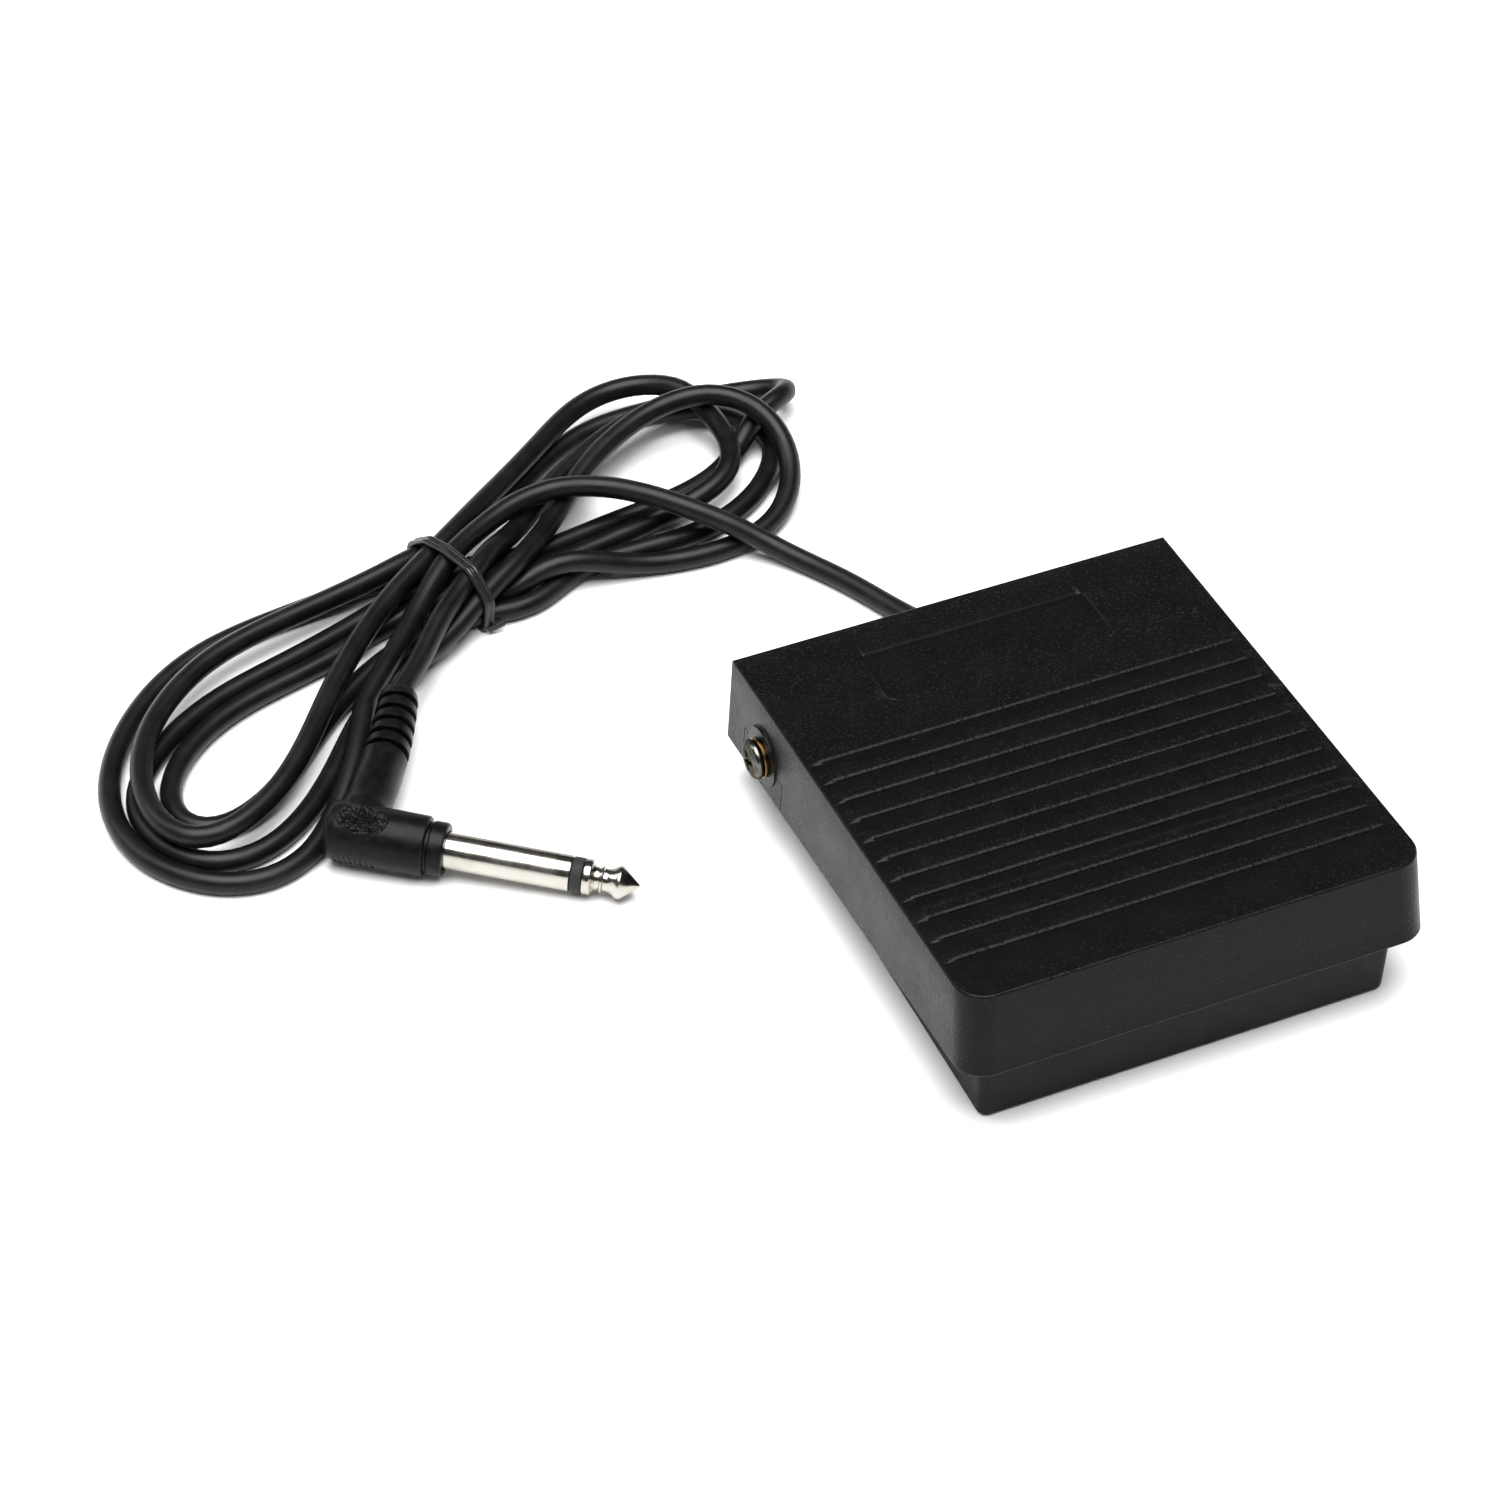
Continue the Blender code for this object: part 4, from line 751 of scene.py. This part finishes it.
def make_base(looks):
    low, high = BASE_BOTTOM_Z, BASE_TOP_Z
    levels = [
        (low, 0.55), (low + 0.08, 0.2), (low + 0.3, 0.05), (low + 0.6, 0.0), (high * 0.5, 0.0),
        (high - 0.3, 0.0), (high - 0.08, 0.08), (high, 0.3), (high, BASE_WALL - 0.3),
        (high - 0.3, BASE_WALL), (FLOOR_Z + 1.2, BASE_WALL), (FLOOR_Z + 0.35, BASE_WALL + 0.35),
        (FLOOR_Z, BASE_WALL + 1.2),
    ]  # fmt: skip
    shell = skin([base_ring(z, inset) for z, inset in levels])
    base = piece("base_shell", shell, looks["base"], body="base")
    levels = ((0.5, 0.5), (0.7, 0.15), (1.1, 0), (7.7, 0), (8.05, 0.15), (8.2, 0.5))
    ledge = skin([ledge_ring(z, inset) for z, inset in levels])
    boolean(base, "guide_ledge", ledge, "UNION")
    recess = box((-34.0, -40.5, -2.0), (34.0, 40.5, 1.3))
    boolean(base, "guide_mat_recess", recess)
    outlet = turned([(2.75, 38.0), (2.75, 50.0)], axis_frame((EXIT_X, 0, CORD_Z), (0, 1, 0)), 40)
    boolean(base, "guide_outlet", outlet)
    bodies = []
    for side in SIDES.values():
        bodies.append(lug(side))
        stop = [(1.8, 12.6), (1.8, 16.6), (4.6, 16.6), (4.8, 16.4), (4.8, 4.0)]
        stop += [(5.6, ROOT_Z), (1.8, ROOT_Z)]
        bodies.append(turned(stop, axis_frame((side * 27, -34, 0), UP), 40, hollow=True))
        # a screw boss for the switch, and one for the cord clamp
        for x, y, top in ((side * 9.4, SWITCH_Y, 5.2), (EXIT_X + side * 6.0, 37.0, 7.0)):
            boss = [(1.3, 3.0), (1.3, top), (2.2, top), (2.4, top - 0.2), (2.4, ROOT_Z), (1.3, ROOT_Z)]
            bodies.append(turned(boss, axis_frame((x, y, 0), UP), 32, hollow=True))
    post = [(5.2, ROOT_Z), (4.4, 3.6), (4.4, 8.0), (3.8, 8.6)]
    bodies.append(turned(post, axis_frame((0, SPRING_Y, 0), UP), 40))
    join(base, bodies)
    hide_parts("base_tray")


def ledge_ring(z, inset):
    """The outline of the ledge behind the tray, square in front where it enters the rear wall."""
    half, rear = LEDGE_HALF_WIDTH - inset, LEDGE_REAR_Y - inset
    ring = [(-half, LEDGE_FRONT_Y, z), (half, LEDGE_FRONT_Y, z)]
    for side, start in ((1, 0), (-1, 90)):
        for i in range(6):
            a = radians(start + 18 * i)
            x = side * (half - LEDGE_CORNER) + LEDGE_CORNER * cos(a)
            ring.append((x, rear - LEDGE_CORNER + LEDGE_CORNER * sin(a), z))
    return ring


def lug(side):
    """A hinge lug, round about the pivot, with a hole for the screw's shank."""
    steps, radius, hole, low, high = 24, LUG_RADIUS, 2.3, 33.0, 38.1
    outer = [(PIVOT.y + radius * cos(a), PIVOT.z + radius * sin(a))
             for a in (pi * i / steps for i in range(steps + 1))]
    foot = [PIVOT.y - radius + 2 * radius * i / steps for i in range(1, steps)]
    outer += [(y, ROOT_Z) for y in foot]
    inner = []
    for y, z in outer:
        a = atan2(z - PIVOT.z, y - PIVOT.y)
        inner.append((PIVOT.y + hole * cos(a), PIVOT.z + hole * sin(a)))
    faces = ((low, inner), (low, outer), (high, outer), (high, inner))
    return skin([[(side * x, y, z) for y, z in line] for x, line in faces], closed=True)


def make_mat(looks):
    """The non-slip mat under the tray, with softly rounded edges."""
    rings = []
    for z, inset in ((0.0, 0.5), (0.06, 0.2), (0.25, 0.05), (0.5, 0.0), (0.95, 0.0), (1.0, 0.1)):
        half, end = MAT_HALF_WIDTH - inset, MAT_HALF_LENGTH - inset
        rings.append(rounded_ring(half, -end, end, MAT_CORNER, z, 6))
    mat = piece("mat_sheet", skin(rings), looks["rubber"], body="base")
    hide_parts("non_slip_mat")


# ---- hinge screws and springs

SCREW_FACE_X, HEAD_RADIUS, HEAD_HEIGHT = 45.0, 3.55, 1.75
SHANK_RADIUS, SCREW_LENGTH = 2.0, 11.3


def screw(name, look, origin, direction):
    """A pan-head screw with a tapered cross recess and a threaded shank, from the head's face down."""
    radius, first = SHANK_RADIUS, SHANK_RADIUS * 0.7 - SCREW_LENGTH
    profile = [(radius * 0.2, -SCREW_LENGTH), (radius, first)]
    pitch = radius * 0.45
    for i in range(int((SCREW_LENGTH - HEAD_HEIGHT - radius) / pitch)):
        start = first + pitch * i
        profile += [(radius * 0.8, start + pitch * 0.15), (radius * 0.8, start + pitch * 0.4)]
        profile.append((radius, start + pitch * 0.75))
    profile.append((radius, -HEAD_HEIGHT))
    # the domed head, in shares of its radius and height
    dome = [(0.88, -1.0), (0.97, -0.93), (1.0, -0.8), (1.0, -0.66), (0.96, -0.42), (0.87, -0.24),
            (0.72, -0.11), (0.52, -0.035), (0.3, -0.005), (0.12, 0.0)]
    profile += [(HEAD_RADIUS * r, HEAD_HEIGHT * h) for r, h in dome]
    at = axis_frame(origin, direction)
    made = piece(name, turned(profile, at, 56), look, angle=35, body="base")
    reach, width = HEAD_RADIUS * 0.62, HEAD_RADIUS * 0.13
    for turn in (20, 110):
        spin = at @ Matrix.Rotation(radians(turn), 4, "Z")
        rings = []
        for depth, share in ((-HEAD_HEIGHT * 0.75, 0.35), (0.4, 1.08)):
            x, y = reach * share, width * (0.55 + 0.5 * share)
            corners = ((-x, -y), (x, -y), (x, y), (-x, y))
            rings.append([spin @ Vector((*corner, depth)) for corner in corners])
        boolean(made, "guide_drive", skin(rings))
    made.data.set_sharp_from_angle(angle=radians(35))
    return made


def make_hardware(looks):
    """The two hinge screws and their brass bushes, which the cover turns on."""
    for name, side in SIDES.items():
        outward = (side, 0, 0)
        face = (side * SCREW_FACE_X, PIVOT.y, PIVOT.z)
        made = screw(f"hinge_screw_{name}", looks["dark"], face, outward)
        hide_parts(f"pivot_screw_{name}")
        profile = [(2.3, 38.4), (3.1, 38.4), (3.1, 42.6), (3.55, 42.6), (3.65, 42.7), (3.65, 42.95),
                   (3.55, 43.1), (2.3, 43.1)]
        sleeve = turned(profile, axis_frame((0, PIVOT.y, PIVOT.z), outward), 64, hollow=True)
        bush = piece(f"hinge_bush_{name}", sleeve, looks["brass"], body="base")
        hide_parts(f"pivot_bush_{name}")


def coil_points(y, low, high, radius, turns, end_pitch):
    """Points along a compression coil at this y, with a closer pitch over its first and last turn."""
    per_turn = 40
    body_pitch = (high - low - 2 * end_pitch) / (turns - 2)
    points = []
    for i in range(turns * per_turn + 1):
        turn = i / per_turn
        if turn <= 1:
            z = low + end_pitch * turn
        elif turn >= turns - 1:
            z = high - end_pitch * (turns - turn)
        else:
            z = low + end_pitch + body_pitch * (turn - 1)
        a = tau * turn
        points.append(Vector((radius * cos(a), y + radius * sin(a), z)))
    return points


def tube(points, radius, sides, flat=1.0, side_shift=0.0, level=None):
    """A round or flattened tube along the points, its section carried on without twisting.

    level is a direction that the section's wide axis keeps to."""
    rings = []
    points = [Vector(p) for p in points]
    normal = None
    for i, here in enumerate(points):
        before, after = points[max(i - 1, 0)], points[min(i + 1, len(points) - 1)]
        along = (after - before).normalized()
        if level is not None:
            wide = (level - along * level.dot(along)).normalized()
        else:
            normal = normal or (Vector((0, 0, 1)) if abs(along.z) < 0.9 else Vector((1, 0, 0)))
            wide = (normal - along * normal.dot(along)).normalized()
            normal = wide
        thin = along.cross(wide)
        centre = here + wide * side_shift
        rings.append([
            centre + wide * radius * cos(a) + thin * radius * flat * sin(a) for a in angles(sides)
        ])  # fmt: skip
    return rings


def make_springs(looks):
    """The return spring and the switch's own, drawn at their full length; in the pedal they shorten as the
    treadle goes down.
    """
    # name, node, y, lowest and highest centre of the wire, radius, turns, pitch of the end turns,
    # radius of the wire, and the share of its length that it keeps when the treadle is down
    springs = [
        ("return_coil", "return_spring", SPRING_Y, 3.6, 25.5, 5.5, 8, 1.4, 0.5, 0.755),
        ("switch_coil", "switch_spring", SWITCH_Y, 3.3, 8.5, 1.75, 6, 0.6, 0.2, 0.5),
    ]
    for name, node, y, low, high, radius, turns, end_pitch, wire, keep in springs:
        coil = skin(tube(coil_points(y, low, high, radius, turns, end_pitch), wire, 12))
        spring = piece(name, coil, looks["steel"], angle=60, body="base")
        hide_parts(node)
        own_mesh(spring)


# ---- plug

PLUG_CROSSING = Vector((-109.1, 53.0, 6.15))
PLUG_TURNS = (("Z", -34.9), ("Y", 3.4), ("X", 2.4))
BARREL_RADIUS = 5.3
STEM_RADIUS = 4.2
STEM_END = 14.5
STEM_LEAN = 0.0042
RELIEF_END = 33.8
GROOVE_START, GROOVE_PITCH = 18.3, 3.03


def plug_matrix():
    """The plug's frame: X along the barrel to the tip, Y up the stem, from where the two cross."""
    made = Matrix.Translation(PLUG_CROSSING)
    for axis, degrees in PLUG_TURNS:
        made = made @ Matrix.Rotation(radians(degrees), 4, axis)
    return made


def stem_shift(up):
    """How far the flexible strain relief has leaned over at this height up the stem."""
    return -STEM_LEAN * max(0.0, up - STEM_END) ** 2


PLUG = plug_matrix()


def stem_ring(up, radius):
    """One ring round the stem at this height, leaning with the strain relief."""
    slope = atan(-2 * STEM_LEAN * max(0.0, up - STEM_END))
    ring = []
    for a in angles(72):
        x, z = radius * cos(a), radius * sin(a)
        place = (stem_shift(up) + x * cos(slope), up - x * sin(slope), z)
        ring.append(PLUG @ Vector(place))
    return ring


def make_boot(looks, at):
    """The moulded boot: the barrel, the stem with its grooved strain relief, and the collar."""
    barrel = [(0.3, -5.3), (3.0, -5.3), (4.2, -5.15), (4.85, -4.6), (5.15, -3.9), (5.3, -3.0), (5.3, 11.8),
              (5.22, 12.15), (4.95, 12.4), (0.3, 12.4)]
    boot = piece("boot_barrel", turned(barrel, at, 128), looks["boot"], body="base")
    # the stem flares gently where it meets the barrel
    stations = [(0.0, 4.9), (4.6, 4.75), (5.3, 4.55), (6.0, 4.4), (7.0, 4.28), (8.5, 4.2), (14.3, 4.2),
                (14.5, 4.15)]
    for i in range(5):
        start, outer = GROOVE_START + GROOVE_PITCH * i, 4.1 - 0.12 * i
        inner = outer - 1.0
        stations += [(start - 0.15, outer), (start, outer - 0.15), (start + 0.05, inner),
                     (start + 1.15, inner), (start + 1.2, outer - 0.15), (start + 1.35, outer - 0.02)]
    stations += [(RELIEF_END - 0.6, 3.4), (RELIEF_END - 0.15, 3.2), (RELIEF_END, 2.9), (RELIEF_END, 2.05)]
    stem = skin([stem_ring(up, radius) for up, radius in stations])
    boolean(boot, "guide_stem", stem, "UNION")
    collar = [(0.3, 11.9), (4.35, 11.9), (4.35, 12.9), (4.55, 13.0), (4.7, 13.2), (4.7, 15.2), (4.6, 15.5),
              (4.35, 15.7), (3.4, 15.7), (3.4, 14.7), (0.3, 14.7)]
    boolean(boot, "guide_collar", turned(collar, at, 128), "UNION")
    # fine finger grooves low on the barrel's front, the outer ones shorter
    middle, out = 27, BARREL_RADIUS + 0.03
    for i in range(8):
        reach = 22 * sqrt(1 - ((i - 3.5) / 4.4) ** 2)
        arc = []
        for a in np.radians(np.linspace(middle - reach, middle + reach, 9)):
            arc.append(PLUG @ Vector((-2.8 + 0.95 * i, -out * cos(a), -out * sin(a))))
        boolean(boot, "guide_groove", skin(tube(arc, 0.26, 10)))
    boot.data.set_sharp_from_angle(angle=radians(32))
    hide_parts("plug_boot")
    return boot


def make_plug(looks):
    along = PLUG.to_3x3() @ Vector((1, 0, 0))
    at = axis_frame(PLUG_CROSSING, along)
    boot = make_boot(looks, at)
    patch = grip_patch(looks)
    sleeve = [(3.0, 14.9), (3.175, 15.1), (3.175, 37.3), (3.1, 37.55), (2.6, 37.6)]
    shank = piece("plug_shank", turned(sleeve, at, 96), looks["nickel"], body="base")
    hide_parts("plug_sleeve")
    ring = [(2.6, 37.7), (3.0, 37.75), (3.08, 37.9), (3.08, 39.5), (3.0, 39.65), (2.6, 39.7)]
    ring = piece("plug_ring", turned(ring, at, 96), looks["switch"], body="base")
    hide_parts("plug_insulator")
    tip = [(2.6, 39.85), (3.1, 39.9), (3.15, 40.05), (3.15, 41.0), (3.05, 41.2), (2.45, 41.55), (2.1, 41.9),
           (1.98, 42.4), (2.1, 42.7), (2.35, 42.85), (2.4, 43.0), (2.35, 43.15), (2.05, 43.35), (2.0, 43.8),
           (2.1, 44.3), (2.45, 45.0), (2.8, 45.5), (2.95, 45.9), (2.95, 46.25), (2.8, 46.55), (0.35, 49.35),
           (0.12, 49.5)]
    tip = piece("plug_point", turned(tip, at, 96), looks["nickel"], angle=25, body="base")
    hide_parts("plug_tip")
    return [boot, patch, shank, ring, tip]


def grip_patch(looks):
    """The oval patch of rough texture moulded on top of the barrel, a thin skin just proud of it."""
    half_long, half_round, rows, spokes = 4.7, 3.1, 26, 96
    bm = bmesh.new()

    def point(share, a, lift):
        x = 1.2 + half_long * share * cos(a)
        turn = half_round * share * sin(a) / BARREL_RADIUS + radians(12)
        radius = BARREL_RADIUS + lift
        return PLUG @ Vector((x, -radius * sin(turn), radius * cos(turn)))

    def lift(share, a):
        x, y = share * cos(a) * half_long, share * sin(a) * half_round
        rough = sin(9.1 * x + 2.3 * sin(5.7 * y))
        rough *= sin(8.3 * y + 1.9 * sin(6.1 * x + 1.0))
        fine = sin(17.0 * x + 11.0 * y + 3.0 * sin(7.0 * y - 4.0 * x))
        return 0.12 + 0.18 * rough + 0.10 * fine

    loops = []
    for i in range(1, rows + 1):
        loop = []
        for a in angles(spokes):
            height = lift(i / rows, a) if i < rows else -0.05
            loop.append(bm.verts.new(point(i / rows, a, height)))
        loops.append(loop)
    top = bm.verts.new(point(0.0, 0.0, 0.07))
    for k in range(spokes):
        bm.faces.new((top, loops[0][k], loops[0][(k + 1) % spokes]))
    bridge(bm, loops)
    under = bm.verts.new(point(0.0, 0.0, -0.4))
    for k in range(spokes):
        bm.faces.new((under, loops[-1][(k + 1) % spokes], loops[-1][k]))
    patch = piece("grip_patch", bm, looks["boot"], angle=60, body="base")
    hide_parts("plug_boot")
    return patch


# ---- cord, its tie and its grommet

TIE_CENTRE = np.array((-71.6, 112.3, 0.0))
TIE_ACROSS = np.array((-0.30, 0.954, 0.0))
HANK_REACH = 22  # the strands further than this from the tie's centre are not in the hank
WIRE_HALF = 0.6  # half the wire's thickness, and how far its middle lies off the cord and the floor


def make_tie(looks, line):
    """A flat twist wire pulled round the strands where the hank is tied, with one short stub for its cut
    ends.
    """
    across = TIE_ACROSS / np.linalg.norm(TIE_ACROSS)
    along = np.array((across[1], -across[0], 0.0))
    offset = (line - TIE_CENTRE) @ along
    found = []
    for i in np.nonzero(np.diff(np.sign(offset)))[0]:
        share = offset[i] / (offset[i] - offset[i + 1])
        place = line[i] + share * (line[i + 1] - line[i])
        reach = (place - TIE_CENTRE) @ across
        if abs(reach) < HANK_REACH:
            a = np.linspace(0, tau, 32, endpoint=False)
            radius = CORD_RADIUS + WIRE_HALF
            found.append(np.stack([reach + radius * np.cos(a), place[2] + radius * np.sin(a)], axis=1))
    found = np.vstack(found)
    loop = found[convex_hull_2d([tuple(p) for p in found])]
    loop[:, 1] = np.maximum(loop[:, 1], WIRE_HALF)
    closed = np.vstack([loop, loop[:1]])
    run = np.r_[0, np.cumsum(np.linalg.norm(np.diff(closed, axis=0), axis=1))]
    start = run[loop[:, 0].argmin()]
    at = (np.linspace(0, run[-1], 121) + start) % run[-1]
    flat = np.stack([np.interp(at, run, closed[:, k]) for k in range(2)], axis=1)
    points = [Vector(TIE_CENTRE + across * u + (0, 0, z)) for u, z in flat[:-1]]
    level = Vector(along)
    bm = bmesh.new()
    for shift in (-0.62, 0.62):
        skin(tube(points, 0.55, 12, level=level, side_shift=shift), True, bm)
    skin(tube(points, 0.62, 8, flat=0.5, level=level), True, bm)
    # the stub of the cut ends, which stands out beside the hank
    foot = TIE_CENTRE + across * (flat[:, 0].min() - 0.3)
    direction = Vector(-across * 0.35 + along * 0.95)
    end = Vector((foot[0], foot[1], 1.0)) - direction * 0.6
    points = [end + direction * (3.0 * t) + Vector((0, 0, 0.9 * t)) for t in (0, 0.25, 0.5, 0.75, 1)]
    skin(tube(points, 0.6, 12, flat=0.6), bm=bm)
    tie = piece("twist_tie", bm, looks["tie"], angle=50, body="base")
    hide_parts("cord_tie")
    return tie


def make_grommet(looks):
    """The strain relief where the cord leaves the tray: a flange and a ringed, tapering sleeve."""
    profile = [(2.1, 41.8), (2.5, 41.8), (2.6, 42.2), (2.6, 47.5), (2.9, 47.55), (3.0, 47.7), (3.0, 48.7),
               (2.85, 48.95), (2.78, 49.2)]
    for i in range(5):
        y, radius = 49.6 + 1.4 * i, 2.76 - 0.09 * i
        low = radius - 0.25
        profile += [(radius, y), (low, y + 0.1), (low, y + 0.55), (radius - 0.04, y + 0.65)]
    profile += [(2.3, 56.6), (2.2, 56.9), (2.05, 57.0)]
    at = axis_frame((EXIT_X, 0, CORD_Z), (0, 1, 0))
    made = piece("outlet_grommet", turned(profile, at, 56), looks["rubber"], body="base")
    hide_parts("cord_grommet")
    return made


def make_cord(looks):
    """The cord along its settled route, and the points of that route in millimetres."""
    line = settle(ROUTE)
    curve = bpy.data.curves.new("cord", "CURVE")
    curve.dimensions = "3D"
    curve.bevel_depth = CORD_RADIUS * MM
    curve.bevel_resolution = 6
    curve.use_fill_caps = True
    spline = curve.splines.new("POLY")
    spline.points.add(len(line) - 1)
    spline.use_smooth = True
    for point, place in zip(spline.points, line):
        point.co = (*(place * MM), 1.0)
    curve.materials.append(looks["jacket"])
    cord = bpy.data.objects.new("cord", curve)
    bpy.context.scene.collection.objects.link(cord)
    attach(cord, "base")
    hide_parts("cord_lead", "cord_hank", "cord_tail")
    return cord, line


# ---- everything together

NODE_LOOKS = {
    "switch": ["switch_housing", "cord_clamp"],
    "plunger": ["switch_plunger"],
    "brass": ["bridge_contact", "switch_terminal_left", "switch_terminal_right"],
    "steel": ["switch_screw_left", "switch_screw_right", "clamp_screw_left", "clamp_screw_right"],
    "rubber": ["stop_pad_left", "stop_pad_right"],
    "jacket": ["inner_cord"],
    "wire_black": ["switch_wire_left"],
    "wire_red": ["switch_wire_right"],
}


def dress_nodes(looks):
    """Gives each CAD node that stays in view its own material."""
    for look, names in NODE_LOOKS.items():
        for slot in [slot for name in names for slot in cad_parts[name].material_slots]:
            slot.material = looks[look]


def main():
    looks = make_looks()
    make_camera()
    make_floor(looks)
    make_lights()
    cord, line = make_cord(looks)
    plug = make_plug(looks)
    tie = make_tie(looks, line)
    grommet = make_grommet(looks)
    make_cover(looks)
    make_base(looks)
    make_mat(looks)
    make_hardware(looks)
    make_springs(looks)
    dress_nodes(looks)


main()
bpy.context.scene.view_settings.view_transform = "Standard"
